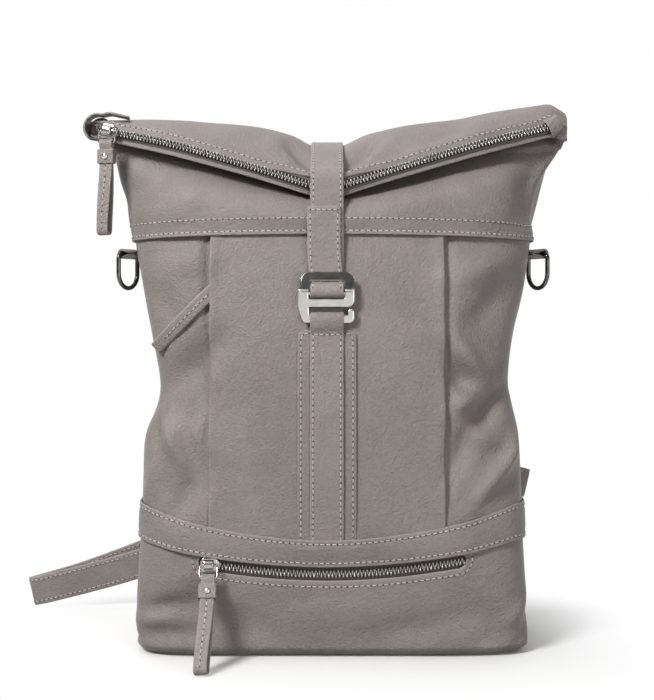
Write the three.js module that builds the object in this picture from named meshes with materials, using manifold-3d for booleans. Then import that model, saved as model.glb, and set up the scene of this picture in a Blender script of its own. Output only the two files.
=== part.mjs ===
// Roll-top backpack in soft leather, closed and standing on the floor.
// Millimetres, +Z up, front towards -Y, origin on the floor under the middle of the closure strap.
import * as THREE from "three";
import { mergeVertices } from "three/addons/utils/BufferGeometryUtils.js";
import Module from "manifold-3d";

const wasm = await Module();
wasm.setup();

// Driving dimensions
const WALL = 2; // leather of the body and of the roll-top
const GAP = 0.4; // clearance between pieces that lie on each other
const PANEL = 1.5; // leather of the pleated middle panel
const TRIM = 1.6; // leather of the seam band and of the strip patch
const STRAP = 1.8; // leather of the closure straps, the tabs and the loops
const STRAP_WIDTH = 25;
const SEAM_GAP = 0.2; // from each half of the body to the side seam
const COLLAR_GAP = 0.6; // the same for the roll-top
const TAPE_GAP = 0.9; // from the bottom zip's tape to the wall in front of it
const PANEL_HALF = 88; // half width of the pleated middle panel
const PANEL_TUCK = 3; // how far the panel's lower end is above the middle of the seam band
const PANEL_EASE = { from: 4, to: 30 }; // beyond the panel, where what lies over it comes down to the body
const BODY_TOP = 325; // upper rim of the body, under the hem of the roll-top
const WAIST = 203; // height of the body's narrowest section
const FOOT_ROUND = 8; // height of the rounded lower edge
const FOLD_FADE = 0.45; // share of the depth below which the folds fade out towards the side seam
const PANEL_TOP = 321;
const HEM_Z = 316; // lower edge of the roll-top at the middle
const HEM_DROP = 3; // how much lower that edge is at the sides
const BAND = { top: 88, bottom: 69.5, topRise: 24, bottomRise: 17.5, reach: 140, curve: 1.9 };
const SLOT = { left: -96, right: 104, height: 12, under: 0.5 }; // bottom zip opening, close under the band
const ZIP = { chain: 6, chainDepth: 2.4, chainGap: 0.3, tape: 1.2, tapeHalf: 4.7, tapeMargin: 4 };
// Places along the top zip, as shares of the half width of the mouth, and along the bottom zip.
const TOP_ZIP = { tape: 0.94, slider: -0.905, chainFrom: -0.864, chainTo: 0.91 };
const BOTTOM_ZIP = { slider: -87, chainFrom: -79.4, chainTo: 102, lean: 30 };
const PULL = { ring: 13, wire: 0.8, drop: 5.2, corner: 2.2, width: 10.4, length: 80, belly: 1.6 };
const KEEPER = { top: 14.5, bottom: 25.3, wall: 1, rivetGap: 0.3 };
const SLIDER = { length: 10, height: 9, depth: 4, bridge: 7, tunnel: 3, span: 6, wall: 1, off: 0.6 };
const BUCKLE = { left: -20.6, right: 19.8, height: 37, plate: 3.2, y: -71.7, z: 249.5, lean: 4.2, round: 5 };
const BUCKLE_BARS = { leg: 6.5, foot: 5, slotTop: 11.3, middleTop: 16, frameTop: 31, mouth: 3.4 };
const BUCKLE_PIN = { z: 21, wire: 1.5 }; // the bar that the closure strap is sewn round
const HOOK_LIFT = 5.1; // middle of the lower strap's bend above the buckle's lower edge
const PATCH = { left: -21.8, right: 21.8, top: 243.5, round: 5 };
const RING = { half: 11.6, drop: 27, wire: 1.8, reach: 8.6, loop: 15, z: 303, turn: 30 };
const SIDE_PULL = { width: 10.6, thickness: 3, fromX: -92, fromZ: 266.5, toX: -121.5, toZ: 237.5, tail: 9 };
const SHOULDER = { width: 36, thickness: 4 };
const LOWER_STRAP = { width: 25, thickness: 2.4 };

// Cross-sections of the body: half widths to the left and right, depth in front and behind, and how
// square the section is (2 is an ellipse).
const BODY = [
  { z: 0, left: 142.3, right: 149.6, front: 61.5, back: 58, square: 7.5 },
  { z: 2.5, left: 144.9, right: 152.4, front: 64.5, back: 61, square: 7.5 },
  { z: 8, left: 146, right: 153.5, front: 66, back: 62.5, square: 7.5 },
  { z: 30, left: 146, right: 152.9, front: 68.5, back: 63, square: 6.5 },
  { z: 65, left: 144.9, right: 152.3, front: 70.5, back: 63, square: 5.5 },
  { z: 105, left: 142.7, right: 151.2, front: 70.5, back: 63, square: 4.6 },
  { z: 130, left: 142.8, right: 150.7, front: 70, back: 63, square: 4 },
  { z: 162, left: 141.4, right: 149.4, front: 69.5, back: 62.5, square: 3.6 },
  { z: 186, left: 132.6, right: 145.3, front: 69, back: 62, square: 3.4 },
  { z: 203, left: 130.6, right: 142.4, front: 68.5, back: 61.5, square: 3.4 },
  { z: 240, left: 137, right: 145.9, front: 66.5, back: 60, square: 3.4 },
  { z: 273, left: 143.5, right: 153.6, front: 63, back: 58, square: 3.3 },
  { z: 306, left: 149.6, right: 159, front: 58, back: 54, square: 3.2 },
  { z: 326, left: 152, right: 161, front: 54, back: 50, square: 3.1 },
];

// Dents and creases of the front: middle, direction, half length, half width, and depth into the body.
const FOLDS = [
  { x: -118, z: 196, tilt: 70, length: 34, width: 13, depth: 4.5 },
  { x: 122, z: 198, tilt: -35, length: 34, width: 12, depth: 4.5 },
  { x: 118, z: 166, tilt: -50, length: 36, width: 12, depth: 3.5 },
  { x: 124, z: 240, tilt: 60, length: 36, width: 16, depth: 3 },
  { x: -116, z: 30, tilt: 35, length: 36, width: 14, depth: 3.5 },
  { x: -48, z: 32, tilt: 10, length: 44, width: 15, depth: 2.5 },
  { x: 112, z: 30, tilt: -40, length: 38, width: 14, depth: 3.5 },
];

// The side seam of the roll-top from its hem to the end of the zip: half widths, place, and squareness.
const COLLAR_SEAM = [
  { left: 153, right: 162.5, y: 0, z: 312, square: 3.4 },
  { left: 158, right: 167, y: -1, z: 335, square: 3.4 },
  { left: 161.5, right: 172, y: -4, z: 356, square: 4 },
  { left: 166, right: 180.5, y: -9, z: 377, square: 5 },
  { left: 172.5, right: 186, y: -15, z: 393, square: 6 },
  { left: 179.5, right: 186.5, y: -20, z: 397, square: 7 },
  { left: 184, right: 185.5, y: -27, z: 396, square: 8 },
];

// The front of the roll-top over the same rows, at the middle, half way out and near the ends: up from
// the hem, back into the crease under the fold, and forward again to the lower lip of the zip. The
// pinch is how steeply a row leaves the closure strap, against the mean slope to half way out.
const COLLAR_FRONT = [
  { centreY: -60.5, centreZ: 316, middleY: -57, middleZ: 315, outerY: -55, outerZ: 313, rise: 0, pinch: 0 },
  { centreY: -61, centreZ: 329, middleY: -58.5, middleZ: 331, outerY: -55, outerZ: 333, rise: 0, pinch: 0 },
  { centreY: -53, centreZ: 341, middleY: -51, middleZ: 351, outerY: -44, outerZ: 356, rise: 1, pinch: 0.6 },
  { centreY: -32, centreZ: 350, middleY: -33, middleZ: 369, outerY: -30, outerZ: 377, rise: 2, pinch: 0.9 },
  { centreY: -14, centreZ: 362, middleY: -14, middleZ: 386, outerY: -17, outerZ: 391, rise: 4, pinch: 1 },
  { centreY: -32, centreZ: 358, middleY: -29, middleZ: 383, outerY: -23, outerZ: 392, rise: 4, pinch: 1.1 },
  { centreY: -57, centreZ: 344.5, middleY: -46, middleZ: 373, outerY: -33, outerZ: 388, rise: 4, pinch: 1.1 },
];

// The back of the roll-top over the same rows: up the back, over the fold, and down to the upper lip.
const COLLAR_BACK = [
  { centreY: 55, centreZ: 312, middleY: 53, middleZ: 312, outerY: 51, outerZ: 312, rise: 0, pinch: 0 },
  { centreY: 51, centreZ: 335, middleY: 49, middleZ: 336, outerY: 46, outerZ: 337, rise: 0, pinch: 0 },
  { centreY: 43, centreZ: 357, middleY: 38, middleZ: 364, outerY: 30, outerZ: 366, rise: 1, pinch: 1 },
  { centreY: 28, centreZ: 376, middleY: 24, middleZ: 394, outerY: 14, outerZ: 394, rise: 8, pinch: 2.4 },
  { centreY: 4, centreZ: 389.5, middleY: -2, middleZ: 408, outerY: -8, outerZ: 408, rise: 16.5, pinch: 2.9 },
  { centreY: -30, centreZ: 379, middleY: -28, middleZ: 401, outerY: -24, outerZ: 407, rise: 13, pinch: 2 },
  { centreY: -57.5, centreZ: 360, middleY: -46, middleZ: 391, outerY: -33, outerZ: 405, rise: 4, pinch: 1.1 },
];
const COLLAR_MIDDLE = 0.52; // where the middle and outer columns lie, as a share of the half width
const COLLAR_OUTER = 0.86;
const COLLAR_FLAT = 0.075; // flat under the closure strap
// Columns of the roll-top on each side of the middle, as shares of its half width, closer at the ends.
const COLLAR_SHARES = [0, COLLAR_FLAT, 0.2, 0.33, 0.45, 0.56, 0.66, 0.75, 0.83,
  0.895, 0.945, 0.975, 0.992, 1];

// The closure strap in its own plane, from the roll-top down to the buckle, and doubled back up again.
const CLOSURE_DOWN = [
  { y: -59.4, z: 362.4 },
  { y: -61.4, z: 358.4 },
  { y: -62, z: 352 },
  { y: -62.6, z: 336 },
  { y: -63.2, z: 318 },
  { y: -64.6, z: 302 },
  { y: -67, z: 288 },
  { y: -69.5, z: 277 },
];
const CLOSURE_UP = [
  { y: -75, z: 274.6 },
  { y: -71.3, z: 279.6 },
  { y: -69.6, z: 286.5 },
  { y: -67, z: 302 },
  { y: -65.6, z: 318 },
  { y: -65, z: 334.8 },
];
// The lower strap behind the buckle, before it goes over the hook, and just below the hook in front.
const HOOK_BEHIND = [{ y: -69.3, z: 244.4 }, { y: -68.9, z: 249 }];
const HOOK_FRONT = [{ y: -74.3, z: 247 }];

// The left end of the top zip is a leather loop round the end of the roll-top. At the right end a
// leather tab lies across the mouth, bowed over the end of the zip: way up and way out from the lips.
const ZIP_LOOP = { x: -175.8, y: -30.5, z: 398.3, radius: 10.3, width: 13, from: 74, to: 220 };
const ZIP_TAB = { reach: 0.947, width: 10 };
const ZIP_TAB_BOW = [
  { up: 10, out: 0.2 },
  { up: 6.5, out: 3.1 },
  { up: 0, out: 3.9 },
  { up: -6.5, out: 3.1 },
  { up: -10, out: 0.2 },
];

// The two layers of a side ring's loop, from the side seam to the ring: way out and half distance apart.
const RING_LAYERS = [{ out: 2, apart: 1.15 }, { out: 4.6, apart: 1.8 }, { out: 7.4, apart: 2.9 }];

// Routes of the straps behind the bag: the strap's middle line, the turn of its width from level, and
// how far its width swings round from the bag's own width.
const SHOULDER_ROUTE = [
  { x: 38, y: 57.6, z: 303, turn: -12, yaw: 0 },
  { x: 41, y: 60, z: 288, turn: -16, yaw: 0 },
  { x: 52, y: 74, z: 262, turn: -24, yaw: 0 },
  { x: 72, y: 91, z: 226, turn: -29, yaw: 0 },
  { x: 97, y: 99, z: 185, turn: -29, yaw: 0 },
  { x: 117, y: 97, z: 148, turn: -24, yaw: 0 },
  { x: 127, y: 91.5, z: 108, turn: -10, yaw: 0 },
];
const RIGHT_ROUTE = [
  { x: 122, y: 62.2, z: 30, turn: 0, yaw: -10 },
  { x: 122, y: 61.6, z: 50, turn: 0, yaw: -10 },
  { x: 123, y: 64.5, z: 70, turn: 0, yaw: -9 },
  { x: 124.5, y: 74, z: 88, turn: 2, yaw: -4 },
  { x: 127.5, y: 82, z: 100, turn: 18, yaw: 0 },
  { x: 135, y: 86, z: 110, turn: 48, yaw: 0 },
  { x: 150, y: 88, z: 114.5, turn: 84, yaw: 0 },
  { x: 172, y: 87.5, z: 110, turn: 104, yaw: 0 },
];
// The left strap goes up from its anchor, folds over, comes down, and lies out on the floor as a
// flattened loop that stands on its edge.
const LEFT_ROUTE = [
  { x: -122, y: 61.4, z: 30, turn: 0, yaw: 15 },
  { x: -122, y: 60.7, z: 50, turn: 0, yaw: 15 },
  { x: -123, y: 63.5, z: 70, turn: 0, yaw: 13 },
  { x: -124.5, y: 74, z: 90, turn: 0, yaw: 5 },
  { x: -125, y: 80.5, z: 106, turn: 0, yaw: 0 },
  { x: -125, y: 83.5, z: 110.5, turn: 0, yaw: 0 },
  { x: -125, y: 86.5, z: 106, turn: 0, yaw: 0 },
  { x: -125.5, y: 88, z: 94, turn: 4, yaw: 0 },
  { x: -127, y: 91, z: 80, turn: 14, yaw: 0 },
  { x: -132, y: 95, z: 65, turn: 34, yaw: 0 },
  { x: -143, y: 98.5, z: 54, turn: 54, yaw: 0 },
  { x: -160, y: 102, z: 46, turn: 66, yaw: 0 },
  { x: -185, y: 106, z: 36, turn: 69, yaw: 0 },
  { x: -215, y: 108.5, z: 25, turn: 71, yaw: 0 },
  { x: -240, y: 109, z: 17.5, turn: 74, yaw: 0 },
  { x: -254, y: 108.6, z: 13.6, turn: 76, yaw: 0 },
  { x: -258.5, y: 106.3, z: 12.6, turn: 77, yaw: 0 },
  { x: -254, y: 104, z: 13.4, turn: 76, yaw: 0 },
  { x: -240, y: 102.6, z: 16.8, turn: 74, yaw: 0 },
  { x: -215, y: 100, z: 23.5, turn: 72, yaw: 0 },
  { x: -185, y: 97, z: 32, turn: 72, yaw: 0 },
  { x: -160, y: 93.5, z: 40, turn: 74, yaw: 0 },
  { x: -142, y: 89, z: 45, turn: 76, yaw: 0 },
];

const vector = (x, y, z) => new THREE.Vector3(x, y, z);
const lerp = THREE.MathUtils.lerp;
const rad = THREE.MathUtils.degToRad;
const spread = (from, to, count) => Array.from({ length: count }, (_, i) => lerp(from, to, i / (count - 1)));

// Smooth curves through values, rows and points

function hermite(from, to, slopeFrom, slopeTo, t) {
  const t2 = t * t;
  const t3 = t2 * t;
  return (2 * t3 - 3 * t2 + 1) * from + (t3 - 2 * t2 + t) * slopeFrom
    + (3 * t2 - 2 * t3) * to + (t3 - t2) * slopeTo;
}

// A row of a table at any value of its key column.
function rowAt(table, key, value) {
  const last = table.length - 1;
  let low = 0;
  while (low < last - 1 && table[low + 1][key] <= value) low += 1;
  const span = table[low + 1][key] - table[low][key];
  const t = THREE.MathUtils.clamp((value - table[low][key]) / span, 0, 1);
  const slope = (i, column) => {
    const before = table[Math.max(i - 1, 0)];
    const after = table[Math.min(i + 1, last)];
    return ((after[column] - before[column]) / (after[key] - before[key])) * span;
  };
  const row = {};
  for (const column of Object.keys(table[0])) {
    const [from, to] = [table[low][column], table[low + 1][column]];
    row[column] = hermite(from, to, slope(low, column), slope(low + 1, column), t);
  }
  return row;
}

// A point on the curve through a list of points, with the whole numbers at the points themselves.
function curvePoint(points, at) {
  const last = points.length - 1;
  const low = Math.min(Math.floor(at), last - 1);
  const [a, b] = [points[low], points[low + 1]];
  const before = points[Math.max(low - 1, 0)];
  const after = points[Math.min(low + 2, last)];
  const slopeA = b.clone().sub(before).multiplyScalar(low > 0 ? 0.5 : 1);
  const slopeB = after.clone().sub(a).multiplyScalar(low < last - 1 ? 0.5 : 1);
  const part = (axis) => hermite(a[axis], b[axis], slopeA[axis], slopeB[axis], at - low);
  return vector(part("x"), part("y"), part("z"));
}

const curvePoints = (points, count) =>
  Array.from({ length: count }, (_, i) => curvePoint(points, (i / (count - 1)) * (points.length - 1)));

// Solids from grids of points

function orient(geometry) {
  const p = geometry.getAttribute("position");
  const index = geometry.getIndex().array;
  let volume = 0;
  const [a, b, c] = [vector(), vector(), vector()];
  for (let i = 0; i < index.length; i += 3) {
    a.fromBufferAttribute(p, index[i]);
    b.fromBufferAttribute(p, index[i + 1]);
    c.fromBufferAttribute(p, index[i + 2]);
    volume += a.dot(b.cross(c));
  }
  if (volume < 0) index.reverse();
  return geometry;
}

function geometryFrom(points, index) {
  const geometry = new THREE.BufferGeometry();
  geometry.setAttribute("position", new THREE.Float32BufferAttribute(points.flatMap((p) => p.toArray()), 3));
  geometry.setIndex(index);
  return orient(geometry);
}

// Two matching grids of points, an outer and an inner face, closed into one wall.
function wall(outer, inner, ring = false) {
  const rows = outer.length;
  const columns = outer[0].length;
  const points = [...outer.flat(), ...inner.flat()];
  const at = (face, r, c) => (face * rows + r) * columns + (c % columns);
  const index = [];
  const quad = (a, b, c, d) => index.push(a, b, c, a, c, d);
  const steps = ring ? columns : columns - 1;
  for (let c = 0; c < steps; c += 1) {
    for (let r = 0; r < rows - 1; r += 1) {
      quad(at(0, r, c), at(0, r, c + 1), at(0, r + 1, c + 1), at(0, r + 1, c));
      quad(at(1, r, c), at(1, r + 1, c), at(1, r + 1, c + 1), at(1, r, c + 1));
    }
    quad(at(1, 0, c), at(1, 0, c + 1), at(0, 0, c + 1), at(0, 0, c));
    quad(at(0, rows - 1, c), at(0, rows - 1, c + 1), at(1, rows - 1, c + 1), at(1, rows - 1, c));
  }
  for (let r = 0; !ring && r < rows - 1; r += 1) {
    quad(at(0, r, 0), at(0, r + 1, 0), at(1, r + 1, 0), at(1, r, 0));
    const end = columns - 1;
    quad(at(1, r, end), at(1, r + 1, end), at(0, r + 1, end), at(0, r, end));
  }
  return geometryFrom(points, index);
}

// A grid moved along its own surface, away from the side that it faces, and straight in at its two
// end columns, so that the halves of a tube meet as a mitre.
function sunk(grid, depth) {
  const rows = grid.length - 1;
  const columns = grid[0].length - 1;
  return grid.map((row, r) => row.map((point, c) => {
    if (c === 0 || c === columns) return point.clone().setX(point.x - Math.sign(point.x) * depth);
    const across = row[Math.min(c + 1, columns)].clone().sub(row[Math.max(c - 1, 0)]);
    const up = grid[Math.min(r + 1, rows)][c].clone().sub(grid[Math.max(r - 1, 0)][c]);
    return point.clone().addScaledVector(across.cross(up).normalize(), -depth);
  }));
}

const gridOf = (rows, columns, point) => rows.map((r) => columns.map((c) => point(c, r)));

// A flat strap of even width and thickness along a path, with a direction of its width for each point.
function strapSolid(path, across, width, thickness) {
  const last = path.length - 1;
  const face = (side) => path.map((point, i) => {
    const along = path[Math.min(i + 1, last)].clone().sub(path[Math.max(i - 1, 0)]).normalize();
    const wide = across[i].clone().addScaledVector(along, -across[i].dot(along)).normalize();
    const centre = point.clone().addScaledVector(wide.clone().cross(along), (side * thickness) / 2);
    return [-width / 2, width / 2].map((half) => centre.clone().addScaledVector(wide, half));
  });
  return wall(face(1), face(-1));
}

const strapAlong = (path, direction, width, thickness) =>
  strapSolid(path, path.map(() => direction), width, thickness);

const STRAP_ACROSS = vector(1, 0, 0); // straps that run in the plane x = 0

// The bend of such a strap round a bar.
function roundBar(y, z, radius, from, to, steps) {
  return spread(from, to, steps).map((angle) =>
    vector(0, y + radius * Math.cos(rad(angle)), z + radius * Math.sin(rad(angle))));
}

// A rectangle with round corners, for outlines and for holes.
function roundRect(path, left, right, bottom, top, radius) {
  path.absarc(right - radius, bottom + radius, radius, -Math.PI / 2, 0, false);
  path.absarc(right - radius, top - radius, radius, 0, Math.PI / 2, false);
  path.absarc(left + radius, top - radius, radius, Math.PI / 2, Math.PI, false);
  path.absarc(left + radius, bottom + radius, radius, Math.PI, 1.5 * Math.PI, false);
  return path;
}

// A round wire whose two ends meet, along a flat path.
function wireRing(path, facing, radius, sides) {
  const count = path.length;
  const points = [];
  const index = [];
  path.forEach((point, i) => {
    const along = path[(i + 1) % count].clone().sub(path[(i + count - 1) % count]).normalize();
    const side = along.cross(facing);
    for (let k = 0; k < sides; k += 1) {
      const angle = (2 * Math.PI * k) / sides;
      points.push(point.clone().addScaledVector(side, radius * Math.cos(angle))
        .addScaledVector(facing, radius * Math.sin(angle)));
      const next = ((i + 1) % count) * sides;
      const [a, b] = [i * sides + k, i * sides + ((k + 1) % sides)];
      const [c, d] = [next + ((k + 1) % sides), next + k];
      index.push(a, b, c, a, c, d);
    }
  });
  return geometryFrom(points, index);
}

// Cuts and joins

function manifoldOf(geometry) {
  const bare = geometry.clone();
  bare.deleteAttribute("normal");
  bare.deleteAttribute("uv");
  const merged = mergeVertices(bare, 1e-4);
  return new wasm.Manifold(new wasm.Mesh({
    numProp: 3,
    vertProperties: new Float32Array(merged.getAttribute("position").array),
    triVerts: new Uint32Array(merged.getIndex().array),
  }));
}

function geometryOf(manifold) {
  const mesh = manifold.getMesh();
  const geometry = new THREE.BufferGeometry();
  geometry.setAttribute("position", new THREE.BufferAttribute(mesh.vertProperties, 3));
  geometry.setIndex(new THREE.BufferAttribute(mesh.triVerts, 1));
  return geometry;
}

const join = (...pieces) => geometryOf(pieces.map(manifoldOf).reduce((a, b) => a.add(b)));
const cut = (body, tool) => geometryOf(manifoldOf(body).subtract(manifoldOf(tool)));

function box(width, depth, height, x = 0, y = 0, z = 0) {
  return new THREE.BoxGeometry(width, depth, height).translate(x, y, z);
}

// Materials

const finishes = {
  leather: { color: 0x968e8a, roughness: 0.55, metalness: 0 },
  lightLeather: { color: 0x9f9794, roughness: 0.52, metalness: 0 },
  tape: { color: 0x6f6862, roughness: 0.8, metalness: 0 },
  chain: { color: 0x8b8884, roughness: 0.35, metalness: 1 },
  steel: { color: 0xc9c6c2, roughness: 0.25, metalness: 1 },
  gunmetal: { color: 0x5c5b5a, roughness: 0.3, metalness: 1 },
};

function piece(parent, name, geometry, finish) {
  const mesh = new THREE.Mesh(geometry, new THREE.MeshStandardMaterial(finishes[finish]));
  mesh.name = name;
  parent.add(mesh);
  return mesh;
}

// The surface of the body

function foldDepth(x, z) {
  let depth = 0;
  for (const fold of FOLDS) {
    const [c, s] = [Math.cos(rad(fold.tilt)), Math.sin(rad(fold.tilt))];
    const along = ((x - fold.x) * c + (z - fold.z) * s) / fold.length;
    const across = ((z - fold.z) * c - (x - fold.x) * s) / fold.width;
    depth += fold.depth * Math.exp(-along * along - across * across);
  }
  return depth;
}

const power = (value, exponent) => Math.sign(value) * Math.abs(value) ** exponent;

const WAIST_SQUARE = rowAt(BODY, "z", WAIST).square;

// A point of the body at a height, moved out by some millimetres. The turn round the body is the one
// at its waist: at other heights the point keeps its share of the half width.
function bodyPoint(turn, z, out = 0) {
  const row = rowAt(BODY, "z", z);
  const [c, s] = [Math.cos(turn), Math.sin(turn)];
  const share = Math.abs(c) ** (2 / WAIST_SQUARE);
  const depth = (1 - share ** row.square) ** (1 / row.square);
  const x = Math.sign(c) * share * ((c < 0 ? row.left : row.right) + out);
  if (s > 0) return vector(x, Math.max(depth * (row.back + out), SEAM_GAP), z);
  const y = Math.min(-depth * (row.front + out), -SEAM_GAP);
  return vector(x, y + foldDepth(x, z) * Math.min(1, depth / FOLD_FADE), z);
}

// The front of the body at a place across it and a height.
function frontY(x, z) {
  const row = rowAt(BODY, "z", z);
  const share = Math.abs(x) / (x < 0 ? row.left : row.right);
  return -row.front * (1 - share ** row.square) ** (1 / row.square) + foldDepth(x, z);
}

// Turns from one side seam to the other that lie evenly along the body's waist.
function evenTurns(from, to, count) {
  const fine = spread(from, to, 1201);
  const around = fine.map((turn) => bodyPoint(turn, WAIST));
  const lengths = [0];
  for (let i = 1; i < around.length; i += 1) {
    lengths.push(lengths[i - 1] + around[i].distanceTo(around[i - 1]));
  }
  return Array.from({ length: count }, (_, k) => {
    const wanted = (lengths.at(-1) * k) / (count - 1);
    return fine[lengths.findIndex((length) => length >= wanted - 1e-6)];
  });
}

const SEAM_TURN = 1e-9; // the front and back halves stop just short of the side seam
const FRONT_TURNS = evenTurns(Math.PI + SEAM_TURN, 2 * Math.PI - SEAM_TURN, 27);
const BACK_TURNS = evenTurns(SEAM_TURN, Math.PI - SEAM_TURN, 21);

// Heights of the seam band and the hem at a turn round the body: they rise from the middle of the
// front to the sides, and run level round the back.
const risingAt = (x) => Math.min(1, Math.abs(x) / BAND.reach) ** BAND.curve;
const rising = (turn) => (Math.sin(turn) > 0 ? 1 : risingAt(bodyPoint(turn, BAND.top).x));

const bandTop = (turn) => BAND.top + BAND.topRise * rising(turn);
const bandBottom = (turn) => BAND.bottom + BAND.bottomRise * rising(turn);
const bandMiddle = (turn) => (bandTop(turn) + bandBottom(turn)) / 2;
const hemHeight = (turn) => HEM_Z - HEM_DROP * rising(turn);

// How far a piece that lies over the middle panel stands off the body.
function lift(turn) {
  if (Math.sin(turn) > 0) return GAP;
  const beyond = Math.abs(bodyPoint(turn, WAIST).x) - PANEL_HALF;
  return GAP + (PANEL + GAP) * (1 - THREE.MathUtils.smoothstep(beyond, PANEL_EASE.from, PANEL_EASE.to));
}

// Body

function lowerHalf(turns) {
  const levels = [0, 2.5, FOOT_ROUND, 26, 46];
  const shares = [0.5, 1];
  const rows = [...levels.map((z) => () => z),
    ...shares.map((share) => (turn) => lerp(levels.at(-1), bandMiddle(turn) - GAP / 2, share))];
  const turnedIn = (z) => z + WALL * Math.max(0, 1 - z / FOOT_ROUND);
  const outer = rows.map((height) => turns.map((turn) => bodyPoint(turn, height(turn))));
  const inner = rows.map((height) => turns.map((turn) => {
    const point = bodyPoint(turn, height(turn), -WALL);
    return point.setZ(turnedIn(point.z));
  }));
  return wall(outer, inner);
}

function upperHalf(turns) {
  const shares = spread(0, 1, 9);
  const height = (turn, share) => lerp(bandMiddle(turn) + GAP / 2, BODY_TOP, share);
  const face = (out) => shares.map((share) => turns.map((turn) => bodyPoint(turn, height(turn, share), out)));
  return wall(face(0), face(-WALL));
}

function seamBand() {
  const turns = [...FRONT_TURNS, ...BACK_TURNS];
  const face = (out) => [0, 1].map((share) => turns.map((turn) =>
    bodyPoint(turn, lerp(bandBottom(turn), bandTop(turn), share), lift(turn) + out)));
  return wall(face(TRIM), face(0), true);
}

// A sheet that lies on the front of the body, between two heights that may change across it.
function frontSheet(xs, bottom, top, rows, out, thickness) {
  const shares = spread(0, 1, rows);
  const face = (off) => gridOf(shares, xs, (x, share) => {
    const z = lerp(bottom(x), top(x), share);
    return vector(x, frontY(x, z) - off, z);
  });
  return wall(face(out + thickness), face(out));
}

const bandTopAt = (x) => BAND.top + BAND.topRise * risingAt(x);
const bandBottomAt = (x) => BAND.bottom + BAND.bottomRise * risingAt(x);

function basePanel() {
  const turns = [...FRONT_TURNS, ...BACK_TURNS];
  const outline = turns.map((turn) => bodyPoint(turn, 0, -WALL - GAP));
  const shape = new THREE.Shape(outline.map((p) => new THREE.Vector2(p.x, p.y)));
  return new THREE.ExtrudeGeometry(shape, { depth: WALL + GAP, bevelEnabled: false });
}

// Roll-top

function acrossCollar(row, axis, reach) {
  const [centre, middle, outer] = ["centre", "middle", "outer"].map((column) => row[column + axis]);
  const share = Math.max(0, Math.abs(reach) - COLLAR_FLAT);
  const slope = (outer - centre) / COLLAR_OUTER;
  const endSlope = (outer - middle) / (COLLAR_OUTER - COLLAR_MIDDLE);
  if (share < COLLAR_MIDDLE) {
    const startSlope = row.pinch * (middle - centre);
    return hermite(centre, middle, startSlope, slope * COLLAR_MIDDLE, share / COLLAR_MIDDLE);
  }
  const span = COLLAR_OUTER - COLLAR_MIDDLE;
  const t = (share - COLLAR_MIDDLE) / span;
  if (t > 1) return outer + endSlope * (share - COLLAR_OUTER) * 0.5;
  return hermite(middle, outer, slope * span, endSlope * span, t);
}

// The points of the roll-top's rows at a share of its half width: the hem lies on the body, the rest
// follow the tables.
function collarColumn(reach, half) {
  const table = half === "front" ? COLLAR_FRONT : COLLAR_BACK;
  return COLLAR_SEAM.map((seam, i) => {
    if (i === 0) {
      const bend = Math.acos(power(reach, seam.square / 2));
      const behind = THREE.MathUtils.clamp(bend, SEAM_TURN, Math.PI - SEAM_TURN);
      const turn = half === "front" ? 2 * Math.PI - behind : behind;
      return bodyPoint(turn, hemHeight(turn), lift(turn) + WALL);
    }
    const rise = table[i].rise * Math.max(0, reach) ** 3;
    const y = acrossCollar(table[i], "Y", reach);
    const z = acrossCollar(table[i], "Z", reach) + rise;
    const seamZ = seam.z + rise;
    const open = Math.max((1 - Math.abs(reach) ** seam.square) ** (1 / seam.square),
      COLLAR_GAP / Math.hypot(y - seam.y, z - seamZ));
    return vector(reach * (reach < 0 ? seam.left : seam.right), lerp(seam.y, y, open), lerp(seamZ, z, open));
  });
}

const collarPoint = (reach, half, row) => curvePoint(collarColumn(reach, half), row);

function collarHalf(half, count) {
  const rightward = [...COLLAR_SHARES.slice(1).map((share) => -share).reverse(), ...COLLAR_SHARES];
  const reaches = half === "front" ? rightward : rightward.reverse();
  const columns = reaches.map((reach) => collarColumn(reach, half));
  const rows = spread(0, COLLAR_SEAM.length - 1, count);
  const outer = rows.map((row) => columns.map((column) => curvePoint(column, row)));
  return wall(outer, sunk(outer, WALL));
}

// The mouth of the roll-top at a share of its half width: middle, and directions along, up and out.
function mouth(reach) {
  const last = COLLAR_SEAM.length - 1;
  const at = (share) => {
    const [upper, lower] = [collarPoint(share, "back", last), collarPoint(share, "front", last)];
    return { middle: upper.clone().add(lower).multiplyScalar(0.5), up: upper.sub(lower) };
  };
  const { middle, up } = at(reach);
  const step = 0.005;
  const along = at(reach + step).middle.sub(at(reach - step).middle).normalize();
  up.addScaledVector(along, -up.dot(along)).normalize();
  const out = along.clone().cross(up);
  return { middle, up, along, out };
}

// A bar that follows the mouth through some shares, with its own half height and depths from the lips.
function mouthBar(reaches, halfHeight, nearest, farthest) {
  const face = (depth) => [-1, 1].map((side) => reaches.map((reach) => {
    const { middle, up, out } = mouth(reach);
    return middle.clone().addScaledVector(up, side * halfHeight).addScaledVector(out, depth);
  }));
  return wall(face(farthest), face(nearest));
}

// Zip sliders and their pulls, each made round its own hinge and then placed

function sliderSolid() {
  const { length, height, depth, bridge, tunnel, span, wall: sheet } = SLIDER;
  const outside = -depth / 2;
  const body = box(length, depth, height);
  const tail = box(length * 0.5, depth, height * 0.6, length * 0.4);
  const roof = box(bridge, sheet, span + sheet, 0, outside - tunnel - sheet / 2);
  const post = (z) => box(bridge, tunnel + sheet, sheet, 0, outside - tunnel / 2 - sheet / 4, z);
  return join(body, tail, roof, post(span / 2), post(-span / 2));
}

const HINGE_OUT = SLIDER.depth / 2 + SLIDER.tunnel / 2; // hinge line in front of the slider's middle

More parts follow.
